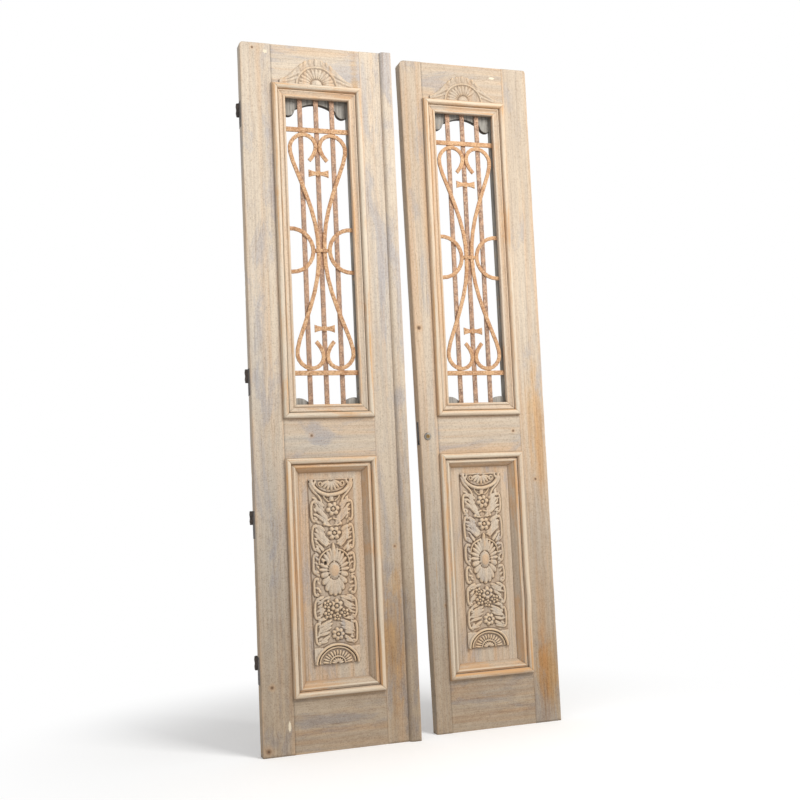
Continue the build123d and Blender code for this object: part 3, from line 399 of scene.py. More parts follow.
# Carving, worked as a height field in millimetres
class Relief:
    """A carved field: x to the right, z up, both from its middle, and the height at each point."""

    def __init__(self, width, height, cell, seed):
        self.width = width
        self.height = height
        self.columns = int(round(width / cell)) + 1
        self.rows = int(round(height / cell)) + 1
        self.x, self.z = np.meshgrid(
            np.linspace(-width / 2, width / 2, self.columns), np.linspace(-height / 2, height / 2, self.rows)
        )
        self.h = np.zeros_like(self.x)
        self.place_x = self.x.copy()
        self.place_z = self.z.copy()
        # the carver's hand: every line wanders a little
        spots = np.stack([self.x.ravel(), self.z.ravel(), np.full(self.x.size, seed * 1.7)], axis=1)
        self.x = self.x + 1.5 * fractal(spots, 26, seed, 2).reshape(self.x.shape)
        self.z = self.z + 1.5 * fractal(spots, 26, seed + 9, 2).reshape(self.x.shape)

    def window(self, x, z, reach):
        inside = (np.abs(self.x - x) < reach) & (np.abs(self.z - z) < reach)
        rows = np.where(inside.any(axis=1))[0]
        columns = np.where(inside.any(axis=0))[0]
        if len(rows) == 0 or len(columns) == 0:
            return None
        return slice(rows[0], rows[-1] + 1), slice(columns[0], columns[-1] + 1)

    def local(self, view, x, z, turn):
        angle = math.radians(turn)
        dx = self.x[view] - x
        dz = self.z[view] - z
        return dx * math.cos(angle) + dz * math.sin(angle), -dx * math.sin(angle) + dz * math.cos(angle)

    def lift(self, view, values):
        self.h[view] = np.where(values > 0, np.maximum(self.h[view], values), self.h[view])

    def dome(self, x, z, rx, rz, height, turn=0, power=0.5):
        view = self.window(x, z, max(rx, rz) + 1)
        if view is None:
            return
        u, v = self.local(view, x, z, turn)
        q = (u / rx) ** 2 + (v / rz) ** 2
        self.lift(view, np.where(q < 1, height * np.clip(1 - q, 0, 1) ** power, 0))

    def petal(self, x, z, turn, length, width, height, vein=0.0, ribs=0, fullness=0.8):
        """A petal from its root at (x, z) outwards, with a sunk vein or side ribs."""
        view = self.window(x, z, length + width)
        if view is None:
            return
        u, v = self.local(view, x, z, turn)
        share = np.clip(u / length, 0, 1)
        half = width / 2 * np.sin(np.pi * share**fullness) ** 0.42 + 0.01
        inside = (u > 0) & (u < length) & (np.abs(v) < half)
        crown = np.sqrt(np.clip(1 - (v / half) ** 2, 0, 1)) * (0.72 + 0.28 * np.sin(np.pi * share))
        shape = height * crown
        if vein:
            shape = shape - vein * np.exp(-((v / 0.9) ** 2)) * np.sin(np.pi * share)
        if ribs:
            shape = shape - 0.9 * (0.5 + 0.5 * np.cos((u + np.abs(v) * 0.9) * 2 * np.pi * ribs / length)) ** 2
        self.lift(view, np.where(inside, np.maximum(shape, 0.2), 0))

    def stroke(self, points, width, height, groove=0.0, power=0.5):
        """A rounded ridge along a line of points, with a groove along its crown."""
        points = np.asarray(points, dtype=float)
        middle = (points.min(axis=0) + points.max(axis=0)) / 2
        reach = np.max(points.max(axis=0) - points.min(axis=0)) / 2 + width
        view = self.window(middle[0], middle[1], reach)
        if view is None:
            return
        px, pz = self.x[view], self.z[view]
        best = np.full(px.shape, 1e9)
        for (ax, az), (bx, bz) in zip(points, points[1:]):
            dx, dz = bx - ax, bz - az
            share = np.clip(((px - ax) * dx + (pz - az) * dz) / (dx * dx + dz * dz + 1e-9), 0, 1)
            best = np.minimum(best, np.hypot(px - ax - share * dx, pz - az - share * dz))
        half = width / 2
        shape = height * np.clip(1 - (best / half) ** 2, 0, 1) ** power
        if groove:
            shape = shape - groove * np.exp(-((best / (width * 0.13)) ** 2))
        self.lift(view, np.where(best < half, np.maximum(shape, 0.1), 0))

    def cut(self, points, width, depth):
        """A groove along a line of points."""
        points = np.asarray(points, dtype=float)
        middle = (points.min(axis=0) + points.max(axis=0)) / 2
        reach = np.max(points.max(axis=0) - points.min(axis=0)) / 2 + width
        view = self.window(middle[0], middle[1], reach)
        if view is None:
            return
        px, pz = self.x[view], self.z[view]
        best = np.full(px.shape, 1e9)
        for (ax, az), (bx, bz) in zip(points, points[1:]):
            dx, dz = bx - ax, bz - az
            share = np.clip(((px - ax) * dx + (pz - az) * dz) / (dx * dx + dz * dz + 1e-9), 0, 1)
            best = np.minimum(best, np.hypot(px - ax - share * dx, pz - az - share * dz))
        self.h[view] = self.h[view] - depth * np.exp(-((best / (width / 2)) ** 2))

    def soften(self, passes):
        for _ in range(passes):
            padded = np.pad(self.h, 1, mode="edge")
            self.h = (
                padded[1:-1, 1:-1] * 4
                + (padded[:-2, 1:-1] + padded[2:, 1:-1] + padded[1:-1, :-2] + padded[1:-1, 2:]) * 2
                + (padded[:-2, :-2] + padded[2:, 2:] + padded[:-2, 2:] + padded[2:, :-2])
            ) / 16

    def cavity(self, passes=14):
        """How far each point lies below its neighbourhood, in millimetres."""
        kept = self.h.copy()
        self.soften(passes)
        low = self.h - kept
        self.h = kept
        return low


def arc(x, z, radius, start, end, steps=16, squash=1.0):
    """Points on an arc, angles in degrees."""
    angles = np.radians(np.linspace(start, end, steps))
    return np.stack([x + radius * np.cos(angles), z + radius * squash * np.sin(angles)], axis=1)


def spiral(x, z, first, last, start, end, steps=20):
    """Points on a spiral whose radius runs from first to last."""
    angles = np.radians(np.linspace(start, end, steps))
    radius = np.linspace(first, last, steps)
    return np.stack([x + radius * np.cos(angles), z + radius * np.sin(angles)], axis=1)


def bend(*points, steps=16):
    """Bezier curve through its first and last points."""
    t = np.linspace(0, 1, steps)[:, None]
    row = [np.asarray(p, dtype=float)[None] * np.ones((steps, 1)) for p in points]
    while len(row) > 1:
        row = [a * (1 - t) + b * t for a, b in zip(row, row[1:])]
    return row[0]


def mirrored(points, side):
    return np.asarray(points) * np.array([side, 1.0])


def carve_flower(field, x, z, radius, height, petals=6, turn=0):
    for k in range(petals):
        angle = math.radians(turn + 360 * k / petals)
        cx = x + radius * 0.6 * math.cos(angle)
        cz = z + radius * 0.6 * math.sin(angle)
        field.dome(cx, cz, radius * 0.42, radius * 0.34, height, math.degrees(angle), 0.4)
    field.cut(arc(x, z, radius * 0.34, 0, 360, 24), 2.2, height * 0.6)
    field.dome(x, z, radius * 0.27, radius * 0.27, height * 1.08)


def c_scroll(field, side, top, bottom, outer, inner, width, height):
    """A C-shaped ribbon along the border that curls in at both ends."""
    curl = 6.0
    body = bend(
        (inner, top - curl), (outer + 2, top - curl * 0.4), (outer, top - (top - bottom) * 0.3),
        (outer, top - (top - bottom) * 0.7), (outer + 2, bottom + curl * 0.4), (inner, bottom + curl), steps=28,
    )
    field.stroke(mirrored(body, side), width, height, groove=height * 0.3)
    for z, sense in ((top - curl, -1), (bottom + curl, 1)):
        field.dome(side * inner, z + sense * curl * 0.4, 5.4, 5.4, height * 1.1)
        field.cut(arc(side * inner, z + sense * curl * 0.4, 3.0, 40, 320, 14), 1.6, height * 0.45)


def radial_teeth(field, x, z, side, count, first, last, inner, outer, width, height):
    """Petals that stand like rays between two half ovals; inner and outer are (x, z) half sizes."""
    for k in range(count):
        angle = math.radians(first + (last - first) * k / (count - 1))
        ray = np.array([math.cos(angle), side * math.sin(angle)])
        start = ray * np.array(inner)
        finish = ray * np.array(outer)
        length = float(np.hypot(*(finish - start)))
        turn = math.degrees(math.atan2(*(finish - start)[::-1]))
        field.petal(x + start[0], z + start[1], turn, length, width, height, fullness=1.3)


def head_bowl(field, edge):
    """Hanging half oval under the head of the plaque: a plain band with a small fan and two curls."""
    field.dome(0, edge, 66, 50, 3.0, power=0.12)
    field.stroke(((-75, edge - 2), (75, edge - 2)), 6.0, 7.5)
    field.stroke(arc(0, edge, 67, 180, 360, 48, squash=0.78), 12.5, 10.5, power=0.3)
    field.cut(arc(0, edge, 58, 182, 358, 44, squash=0.77), 2.6, 4.0)
    radial_teeth(field, 0, edge - 2, -1, 7, 28, 152, (8, 7), (40, 37), 11.5, 9.5)
    field.dome(0, edge, 9, 8, 9.5)
    for side in (-1, 1):
        field.stroke(mirrored(spiral(36, edge - 15, 9, 2.5, 210, 600, 24), side), 4.6, 9.0)
        field.petal(side * 50, edge - 3, -60 if side > 0 else -120, 24, 9, 8.0, vein=1.5)


def foot_arch(field, edge):
    """Half oval at the foot: a wide plain band, a deep hollow and two tiers of teeth."""
    spandrel = (np.abs(field.x) / 70) ** 2 + ((field.z - edge) / 60) ** 2 > 1
    spandrel &= (field.z < edge + 52) & (np.abs(field.x) > 24)
    field.h[spandrel] = np.maximum(field.h[spandrel], 5.5)
    field.stroke(arc(0, edge, 69, 0, 180, 52, squash=0.86), 9.5, 10.0, power=0.35)
    field.stroke(arc(0, edge, 59, 4, 176, 46, squash=0.86), 6.5, 7.6)
    field.cut(arc(0, edge, 63.5, 2, 178, 46, squash=0.86), 3.0, 5.0)
    radial_teeth(field, 0, edge, 1, 13, 8, 172, (27, 24), (49, 42), 8.0, 8.6)
    field.stroke(arc(0, edge, 25, 0, 180, 30, squash=0.92), 5.0, 8.8)
    radial_teeth(field, 0, edge, 1, 7, 18, 162, (4, 4), (21, 19), 6.6, 9.2)


# Strips of the long ribbed leaves on one half of the plaque: root x, root z, turn, length and width
LEAF_STRIPS = (
    (9, 147, 40, 62, 11.5), (11, 158, 42, 60, 11), (15, 169, 44, 54, 10.5), (24, 178, 46, 44, 10), (27, 192, 52, 34, 10),
    (25, 206, 40, 30, 11), (46, 214, 62, 22, 9),
    (10, 68, 42, 64, 11.5), (10, 80, 42, 64, 11), (12, 92, 43, 58, 10.5), (22, 100, 45, 48, 10), (26, 113, 50, 40, 10),
    (26, 128, 34, 32, 12), (30, 60, 52, 34, 10), (44, 58, 60, 20, 9),
    (17, -84, -22, 44, 11.5), (19, -93, -30, 46, 11), (23, -105, -34, 40, 10.5), (38, -82, -14, 24, 9.5),
    (28, -122, -28, 32, 10), (20, -146, -20, 42, 11), (14, -158, -26, 50, 11),
    (12, -168, -24, 50, 11.5), (16, -181, -20, 44, 11), (22, -196, -14, 38, 10.5), (22, -208, -30, 40, 10.5),
    (30, -224, -8, 30, 10),
)

# Flowers of the plaque: x, z, radius, petals and turn
PLAQUE_FLOWERS = (
    (3, 197, 23, 6, 10), (4, 120, 23, 6, 0), (3, -114, 23, 6, 30), (-28, -108, 15, 5, 0), (-25, -138, 16, 5, 20),
    (29, -136, 15, 5, 40), (3, -148, 14, 5, 10), (5, -203, 21, 7, 0),
)


def plaque_relief(seed, holes):
    """The plaque's carving, from the bowl at its head to the arch at its foot."""
    field = Relief(151, 591, 1.15, seed)
    field.h[:] = 1.6
    top = 295.5
    wobble = np.random.default_rng(seed)
    for side in (-1, 1):
        for x, z, turn, length, width in LEAF_STRIPS:
            turn = turn + wobble.uniform(-4, 4)
            height = wobble.uniform(7.5, 9.5)
            width = width * 1.2
            field.petal(side * x, z, turn if side > 0 else 180 - turn, length, width, height, vein=3.4, fullness=0.9)
        field.stroke(
            mirrored(bend((71, top - 14), (66, top - 44), (40, top - 48), (34, top - 74)), side), 8, 8.5, groove=2
        )
        field.stroke(mirrored(bend((26, 240), (22, 226), (8, 222), (4, 214)), side), 5, 8)
        field.stroke(mirrored(bend((4, 166), (30, 160), (34, 146), (6, 144)), side), 6, 8.6, groove=1.6)
        field.dome(side * 27, 150, 6.5, 6.5, 9.4)
    field.petal(-3, 238, -72, 24, 15, 9.0)
    field.petal(3, 238, -108, 24, 15, 9.0)
    for side in (-1, 1):
        for z in range(-226, 232, 13):
            turn = wobble.uniform(15, 60) * (1 if z > -80 else -1)
            x = side * wobble.uniform(44, 54)
            length = wobble.uniform(14, 20)
            field.petal(x, z, turn if side > 0 else 180 - turn, length, 8.5, wobble.uniform(5.5, 7.5), vein=1.5)
    for high, low in ((228, 154), (151, 63), (58, -12), (-18, -82), (-87, -156), (-161, -236)):
        for side in (-1, 1):
            c_scroll(field, side, high, low, 69, 57, 8.5, 9.0)
    for x, z, radius, petals, turn in PLAQUE_FLOWERS:
        pit = field.window(x, z, radius + 2)
        u, v = field.local(pit, x, z, 0)
        field.h[pit] = np.where(u * u + v * v < (radius * 1.1) ** 2, np.minimum(field.h[pit], 2.0), field.h[pit])
        carve_flower(field, x, z, radius, 10.5, petals, turn)
    # oval daisy: a sunk dish with a shell of broad petals below, finer ones at the sides and a bud above
    dish = (field.x / 50) ** 2 + (field.z / 86) ** 2 < 1
    field.h[dish] = np.minimum(field.h[dish], 1.0)
    radial_teeth(field, 0, 0, 1, 13, 4, 176, (15, 24), (50, 74), 14.0, 9.0)
    for side in (-1, 1):
        field.stroke(mirrored(bend((16, 66), (36, 62), (52, 44), (50, 22)), side), 5.5, 9.5)
    for k in range(9):
        angle = math.radians(-168 + 156 * k / 8)
        ray = np.array([math.cos(angle) * 46, math.sin(angle) * 82])
        start = ray * 0.28
        length = float(np.hypot(*(ray - start)))
        turn = math.degrees(math.atan2(ray[1], ray[0]))
        field.petal(start[0], start[1], turn, length, 21, 11.0, vein=1.8, fullness=1.7)
    field.petal(0, 22, 90, 66, 19, 12.5, vein=0.8, fullness=0.75)
    field.cut(arc(0, 0, 21, 0, 360, 40, squash=1.42), 3.4, 3.6)
    field.dome(0, 0, 18.5, 28, 15.0, power=0.42)
    head_bowl(field, top)
    foot_arch(field, -top)
    for x, z, radius in holes:
        pit = field.window(x, z, radius * 2)
        u, v = field.local(pit, x, z, 0)
        gap = np.hypot(u, v * 0.85) / radius
        field.h[pit] = np.where(gap < 1, np.minimum(field.h[pit], 14 * gap**3 - 2.2), field.h[pit])
    field.soften(1)
    grid = np.stack([field.x.ravel(), field.z.ravel(), np.full(field.x.size, seed * 3.1)], axis=1)
    field.h += 0.5 * fractal(grid, 9, seed, 3).reshape(field.h.shape)
    field.h += 0.2 * fractal(grid, (2.2, 30, 5), seed + 4, 2).reshape(field.h.shape)
    return field


def crest_relief(seed, chipped):
    """Low pediment: a half daisy under an arch, two long ribs on each side and small lobes over it."""
    field = Relief(252, 92, 1.05, seed)
    low = -46
    outline = np.interp(
        np.abs(field.x), (0, 14, 30, 48, 66, 84, 104, 118, 126), (91, 89, 82, 72, 58, 42, 24, 13, 6)
    )
    margin = np.minimum(outline - (field.z - low), (127 - np.abs(field.x)) * 1.2)
    field.h[:] = np.clip(margin * 1.4, -3.0, 2.6)
    for side in (-1, 1):
        for points in (
            ((60, 26), (78, 18), (98, 9), (124, 4)),
            ((56, 42), (78, 34), (98, 18), (122, 10)),
        ):
            line = bend(*[(x, low + z) for x, z in points])
            field.stroke(mirrored(line, side), 9.5, 6.5, groove=1.4)
        for x, z, turn, length, width in (
            (70, 44, -38, 24, 10), (56, 54, 118, 20, 12), (41, 64, 108, 20, 12), (22, 68, 96, 20, 13),
        ):
            field.petal(side * x, low + z, turn if side > 0 else 180 - turn, length, width, 6.2, vein=1.2)
    field.petal(0, low + 66, 90, 25, 14, 7.0, vein=1.2)
    dish = np.hypot(field.x / 69, (field.z - low) / 62) < 1
    field.h[dish] = 2.2
    field.stroke(arc(0, low, 68, 0, 180, 60, squash=0.9), 8.0, 7.4, groove=1.2)
    for k in range(13):
        angle = math.radians(5 + 170 * k / 12)
        ray = np.array([math.cos(angle), math.sin(angle)])
        reach = ray * (42, 36)
        height = 3.0 if k in chipped else 7.4
        turn = math.degrees(math.atan2(reach[1], reach[0]))
        field.petal(ray[0] * 20, low + ray[1] * 20, turn, np.hypot(*reach), 12.8, height, vein=0.6, fullness=1.7)
    field.cut(arc(0, low, 21, 0, 180, 30), 3.0, 2.6)
    field.dome(0, low - 2, 19, 21, 9.0, power=0.4)
    field.soften(1)
    grid = np.stack([field.x.ravel(), field.z.ravel(), np.full(field.x.size, seed * 2.3)], axis=1)
    field.h += 0.3 * fractal(grid, 8, seed, 3).reshape(field.h.shape)
    return field


def relief_object(name, field, middle_x, middle_z, ground, skirt, seed):
    """A closed-sided mesh of a height field that faces the viewer, its ground at a given depth in Y."""
    x = middle_x + field.place_x * MM
    z = middle_z + field.place_z * MM
    y = ground - field.h * MM
    top = np.stack([x, y, z], axis=-1).reshape(-1, 3)
    rows, columns = field.h.shape
    index = np.arange(rows * columns).reshape(rows, columns)
    quads = np.stack([index[:-1, :-1], index[:-1, 1:], index[1:, 1:], index[1:, :-1]], axis=-1).reshape(-1, 4)
    buried = (field.h < -1.5).reshape(-1)
    keep = ~buried[quads].all(axis=1)
    faces = [tuple(q) for q in quads[keep]]
    vertices = top
    cavity = field.cavity().ravel()
    height = field.h.ravel()
    if skirt:
        loop = np.concatenate([index[0, :-1], index[:-1, -1], index[-1, :0:-1], index[:0:-1, 0]])
        rim = top[loop].copy()
        rim[:, 1] = skirt
        first = len(vertices)
        vertices = np.concatenate([vertices, rim])
        count = len(loop)
        for k in range(count):
            following = (k + 1) % count
            faces.append((int(loop[following]), int(loop[k]), first + k, first + following))
        faces.append(tuple(range(first + count - 1, first - 1, -1)))
        # The skirt gets a middling cavity value, which gives the plaque's sides painted shade.
        cavity = np.concatenate([cavity, np.full(count, 0.8)])
        height = np.concatenate([height, np.zeros(count)])
    grain = vertices[:, [0, 1, 2]] + np.array([seed * 0.41, seed * 0.29, seed * 1.7])
    attributes = {"grain": grain, "cavity": cavity, "height": height}
    return make_object(name, vertices, faces, attributes)


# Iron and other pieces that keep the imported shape, with their sharp edges eased
def eased_copy(node, name, width, segments=2):
    """A copy of a node's mesh with flat faces merged and sharp edges bevelled."""
    source = nodes[node]
    mesh = source.data.copy()
    mesh.name = name
    mesh.materials.clear()
    work = bmesh.new()
    work.from_mesh(mesh)
    bmesh.ops.remove_doubles(work, verts=work.verts, dist=0.01 * MM)
    bmesh.ops.dissolve_limit(work, angle_limit=math.radians(1.0), verts=work.verts, edges=work.edges)
    sharp = [e for e in work.edges if len(e.link_faces) == 2 and e.calc_face_angle(0) > math.radians(35)]
    bmesh.ops.bevel(
        work, geom=sharp, offset=width, offset_type="OFFSET", segments=segments, profile=0.5, affect="EDGES",
        clamp_overlap=True,
    )
    bmesh.ops.triangulate(work, faces=[f for f in work.faces if len(f.verts) > 4])
    work.to_mesh(mesh)
    work.free()
    for polygon in mesh.polygons:
        polygon.use_smooth = True
    obj = bpy.data.objects.new(name, mesh)
    bpy.context.collection.objects.link(obj)
    edge_split = obj.modifiers.new("edges", "EDGE_SPLIT")
    edge_split.split_angle = math.radians(50)
    return obj


# Materials
def linear(red, green, blue):
    """Colour as seen on screen, 0 to 255, to the shader's own scale."""

    def channel(value):
        value /= 255
        return value / 12.92 if value <= 0.04045 else ((value + 0.055) / 1.055) ** 2.4

    return (channel(red), channel(green), channel(blue), 1.0)


class Shader:
    """A small helper for writing node materials."""

    def __init__(self, name):
        self.material = bpy.data.materials.new(name)
        self.material.use_nodes = True
        self.tree = self.material.node_tree
        self.surface = self.tree.nodes["Principled BSDF"]

    def node(self, kind, **settings):
        made = self.tree.nodes.new(kind)
        for key, value in settings.items():
            setattr(made, key, value)
        return made

    def put(self, socket, value):
        if hasattr(value, "is_output"):
            self.tree.links.new(value, socket)
        else:
            socket.default_value = value

    def attribute(self, name, vector=False):
        found = self.node("ShaderNodeAttribute", attribute_name=name)
        return found.outputs["Vector" if vector else "Fac"]

    def place(self):
        return self.node("ShaderNodeTexCoord").outputs["Object"]

    def scaled(self, vector, scale, shift=(0, 0, 0)):
        made = self.node("ShaderNodeMapping")
        self.put(made.inputs["Vector"], vector)
        made.inputs["Scale"].default_value = scale
        made.inputs["Location"].default_value = shift
        return made.outputs["Vector"]

    def noise(self, vector, scale=1.0, detail=3.0, roughness=0.55, distortion=0.0):
        made = self.node("ShaderNodeTexNoise")
        self.put(made.inputs["Vector"], vector)
        made.inputs["Scale"].default_value = scale
        made.inputs["Detail"].default_value = detail
        made.inputs["Roughness"].default_value = roughness
        made.inputs["Distortion"].default_value = distortion
        return made.outputs["Fac"]

    def math(self, operation, first, second=0.0, third=0.0, clamp=False):
        made = self.node("ShaderNodeMath", operation=operation, use_clamp=clamp)
        self.put(made.inputs[0], first)
        self.put(made.inputs[1], second)
        self.put(made.inputs[2], third)
        return made.outputs[0]

    def step(self, value, low, high):
        """0 below low and 1 above high, smooth between."""
        made = self.node("ShaderNodeMapRange", interpolation_type="SMOOTHSTEP")
        self.put(made.inputs["Value"], value)
        made.inputs["From Min"].default_value = low
        made.inputs["From Max"].default_value = high
        return made.outputs["Result"]

    def mix(self, first, second, share, blend="MIX"):
        made = self.node("ShaderNodeMix", data_type="RGBA", blend_type=blend)
        self.put(made.inputs[0], share)
        self.put(made.inputs[6], first)
        self.put(made.inputs[7], second)
        return made.outputs[2]

    def axis(self, vector, which):
        made = self.node("ShaderNodeSeparateXYZ")
        self.put(made.inputs[0], vector)
        return made.outputs[which]

    def oval(self, place, x, z, half_width, half_height):
        """Distance from (x, z) as a share of an upright oval's half sizes."""
        apart = self.node("ShaderNodeVectorMath", operation="SUBTRACT")
        self.put(apart.inputs[0], place)
        apart.inputs[1].default_value = (x, 0, z)
        share = self.node("ShaderNodeVectorMath", operation="MULTIPLY")
        self.put(share.inputs[0], apart.outputs[0])
        share.inputs[1].default_value = (1 / half_width, 0, 1 / half_height)
        reach = self.node("ShaderNodeVectorMath", operation="LENGTH")
        self.put(reach.inputs[0], share.outputs[0])
        return reach.outputs["Value"]

    def bump(self, height, strength, distance):
        made = self.node("ShaderNodeBump")
        made.inputs["Strength"].default_value = strength
        made.inputs["Distance"].default_value = distance
        self.put(made.inputs["Height"], height)
        return made.outputs["Normal"]

    def finish(self, colour, roughness, normal=None, specular=0.35, metallic=0.0):
        self.put(self.surface.inputs["Base Color"], colour)
        self.put(self.surface.inputs["Roughness"], roughness)
        self.surface.inputs["Specular IOR Level"].default_value = specular
        self.surface.inputs["Metallic"].default_value = metallic
        if normal is not None:
            self.put(self.surface.inputs["Normal"], normal)
        return self.material


CREAM = linear(228, 213, 192)
GREIGE = linear(206, 192, 175)
PEACH = linear(226, 188, 148)
HONEY = linear(212, 164, 112)
LAVENDER = linear(186, 182, 182)
BROWN = linear(140, 110, 84)
DARK = linear(74, 60, 50)


def pine(name, warm=0.5, grey=0.5, stain=0.3, foot_darkening=1.0, head=0.0, marks=None, relief=0.0, moulding=False):
    """Stripped old pine: streaks along the grain, late-wood lines, grey wash left in places, dark stains and darkening
    towards the foot.

    foot_darkening is how far the wood darkens towards the foot, head how far the top does, and relief how strong the
    painted shade in a carving's hollows and low ground is.
    """
    s = Shader(name)
    grain = s.attribute("grain", vector=True)
    place = s.place()
    bands = s.noise(s.scaled(grain, (24, 24, 0.7)), detail=3.0, roughness=0.6)
    streaks = s.noise(s.scaled(grain, (90, 90, 2.4)), detail=4.0, roughness=0.66)
    lines = s.noise(s.scaled(grain, (430, 430, 5.0)), detail=3.0, roughness=0.7)
    dashes = s.noise(s.scaled(grain, (700, 700, 60)), detail=2.0, roughness=0.6)
    grit = s.noise(place, scale=260.0, detail=3.0, roughness=0.7)
    patches = s.noise(s.scaled(grain, (12, 12, 3.4)), detail=5.0, roughness=0.68, distortion=0.6)
    blotch = s.noise(place, scale=21.0, detail=6.0, roughness=0.72)
    # growth rings wander with the noise, so that the late wood makes long pointed arches
    wander = s.math("MULTIPLY", s.noise(s.scaled(grain, (10, 10, 0.8)), detail=3.0), 11.0)
    ring = s.math("FRACT", s.math("ADD", s.math("MULTIPLY", s.axis(grain, 0), 48.0), wander))
    late = s.math("MULTIPLY", s.step(ring, 0.5, 0.92), s.step(bands, 0.35, 0.6))
    colour = s.mix(GREIGE, CREAM, s.step(streaks, 0.30, 0.70))
    colour = s.mix(colour, PEACH, s.math("MULTIPLY", s.step(bands, 0.52 - 0.14 * warm, 0.72), 0.3 + 0.55 * warm))
    washed = s.math("MULTIPLY", s.step(patches, 0.60 - 0.18 * grey, 0.70 - 0.10 * grey), 0.4 + 0.5 * grey)
    colour = s.mix(colour, LAVENDER, washed)
    colour = s.mix(colour, HONEY, s.math("MULTIPLY", s.step(streaks, 0.60, 0.78), 0.25 + 0.5 * warm))
    colour = s.mix(colour, BROWN, s.math("MULTIPLY", late, 0.13))
    uneven = s.math("MULTIPLY", s.step(lines, 0.54, 0.72), s.step(patches, 0.34, 0.62))
    colour = s.mix(colour, BROWN, s.math("MULTIPLY", uneven, 0.6))
    colour = s.mix(colour, BROWN, s.math("MULTIPLY", s.step(dashes, 0.56, 0.70), 0.42))
    colour = s.mix(colour, BROWN, s.math("MULTIPLY", s.step(grit, 0.52, 0.66), 0.35))
    colour = s.mix(colour, CREAM, s.math("MULTIPLY", s.step(grit, 0.46, 0.34), 0.4))
    colour = s.mix(colour, DARK, s.math("MULTIPLY", s.step(blotch, 0.62, 0.84), stain))
    # The wood is made darker towards the foot, unevenly with the blotches.
    darkening = s.math("ADD", 0.62 * foot_darkening, s.math("MULTIPLY", blotch, 0.5 * foot_darkening))
    foot = s.math("MULTIPLY", s.step(s.axis(place, 2), 1.6, 0.02), darkening)
    colour = s.mix(colour, (0.585, 0.535, 0.48, 1.0), foot, blend="MULTIPLY")
    if head:
        above = s.math("MULTIPLY", s.step(s.axis(place, 2), 1.2, 2.1), head)
        colour = s.mix(colour, (0.84, 0.82, 0.80, 1.0), above, blend="MULTIPLY")
    knots, chips, stains = marks or ((), (), ())
    for x, z, half_width, half_height, tone, amount in stains:
        reach = s.oval(place, x, z, half_width, half_height)
        uneven = s.math("ADD", s.math("MULTIPLY", patches, 2.4), s.math("MULTIPLY", streaks, 1.2))
        share = s.math("MULTIPLY", s.step(s.math("ADD", reach, s.math("SUBTRACT", uneven, 1.8)), 1.2, 0.3), amount)
        colour = s.mix(colour, tone, share, blend="MULTIPLY")
    if knots:
        flat = s.node("ShaderNodeCombineXYZ")
        s.put(flat.inputs[0], s.axis(place, 0))
        s.put(flat.inputs[1], s.axis(place, 2))
        nearest = None
        for x, z, radius in knots:
            apart = s.node("ShaderNodeVectorMath", operation="DISTANCE")
            s.put(apart.inputs[0], flat.outputs[0])
            apart.inputs[1].default_value = (x, z, 0)
            share = s.math("DIVIDE", apart.outputs["Value"], radius)
            nearest = share if nearest is None else s.math("MINIMUM", nearest, share)
        ragged = s.math("ADD", nearest, s.math("MULTIPLY", s.math("SUBTRACT", blotch, 0.5), 1.2))
        colour = s.mix(colour, HONEY, s.math("MULTIPLY", s.step(ragged, 2.2, 1.0), 0.2))
        colour = s.mix(colour, BROWN, s.math("MULTIPLY", s.step(ragged, 1.1, 0.5), 0.8))
        colour = s.mix(colour, DARK, s.math("MULTIPLY", s.step(ragged, 0.5, 0.2), 0.7))
    for x, z, half_width, half_height in chips:
        reach = s.oval(place, x, z, half_width, half_height)
        ragged = s.math("ADD", reach, s.math("MULTIPLY", s.math("SUBTRACT", grit, 0.5), 1.5))
        colour = s.mix(colour, linear(240, 226, 200), s.math("MULTIPLY", s.step(ragged, 1.15, 0.85), 0.9))
    wear = s.attribute("wear")
    if moulding:
        tone = s.attribute("tone")
        ochre = s.math("MULTIPLY", s.step(streaks, 0.50, 0.66), s.step(tone, 0.3, 0.7))
        colour = s.mix(colour, HONEY, s.math("MULTIPLY", ochre, 0.75))
        colour = s.mix(colour, HONEY, s.math("MULTIPLY", s.step(patches, 0.50, 0.60), 0.5))
        # Painted highlight with rubbed bare wood: the crowns turn pale where the streaks allow.
        highlight_and_rub = s.math("MULTIPLY", s.step(tone, 0.68, 0.92), s.step(streaks, 0.60, 0.40))
        colour = s.mix(colour, linear(240, 226, 202), s.math("MULTIPLY", highlight_and_rub, 0.55))
        # Painted shade: the sides, hollows and the quirk darken where the tone is low.
        colour = s.mix(colour, BROWN, s.math("MULTIPLY", s.step(tone, 0.30, 0.08), 0.4))
        colour = s.mix(colour, DARK, s.math("MULTIPLY", s.step(tone, 0.12, 0.0), 0.65))
    if relief:
        cavity = s.attribute("cavity")
        height = s.attribute("height")
        # Painted shade: the low ground and the hollows darken, and the raised crowns get a painted highlight.
        colour = s.mix(colour, BROWN, s.math("MULTIPLY", s.step(height, 5.5, 1.0), 0.35 * relief))
        colour = s.mix(colour, linear(96, 74, 54), s.math("MULTIPLY", s.step(cavity, 0.1, 1.7), 0.76 * relief))
        colour = s.mix(colour, linear(232, 200, 158), s.math("MULTIPLY", s.step(cavity, -0.3, -2.2), 0.6))
        colour = s.mix(colour, HONEY, s.math("MULTIPLY", s.step(height, 11.0, 12.4), 0.4))
        # Painted shadow: the bottoms of the holes are near black.
        colour = s.mix(colour, linear(20, 16, 13), s.step(height, 0.2, -1.2))
    else:
        colour = s.mix(colour, PEACH, s.math("MULTIPLY", wear, 0.45))
    height = s.math("ADD", s.math("MULTIPLY", lines, -0.8), s.math("MULTIPLY", dashes, -0.4))
    height = s.math("ADD", height, s.math("MULTIPLY", late, -0.3))
    normal = s.bump(s.math("ADD", height, s.math("MULTIPLY", streaks, 0.5)), 0.6, 0.8 * MM)
    rough = s.math("ADD", 0.66, s.math("MULTIPLY", blotch, 0.22))
    return s.finish(colour, rough, normal, specular=0.2)


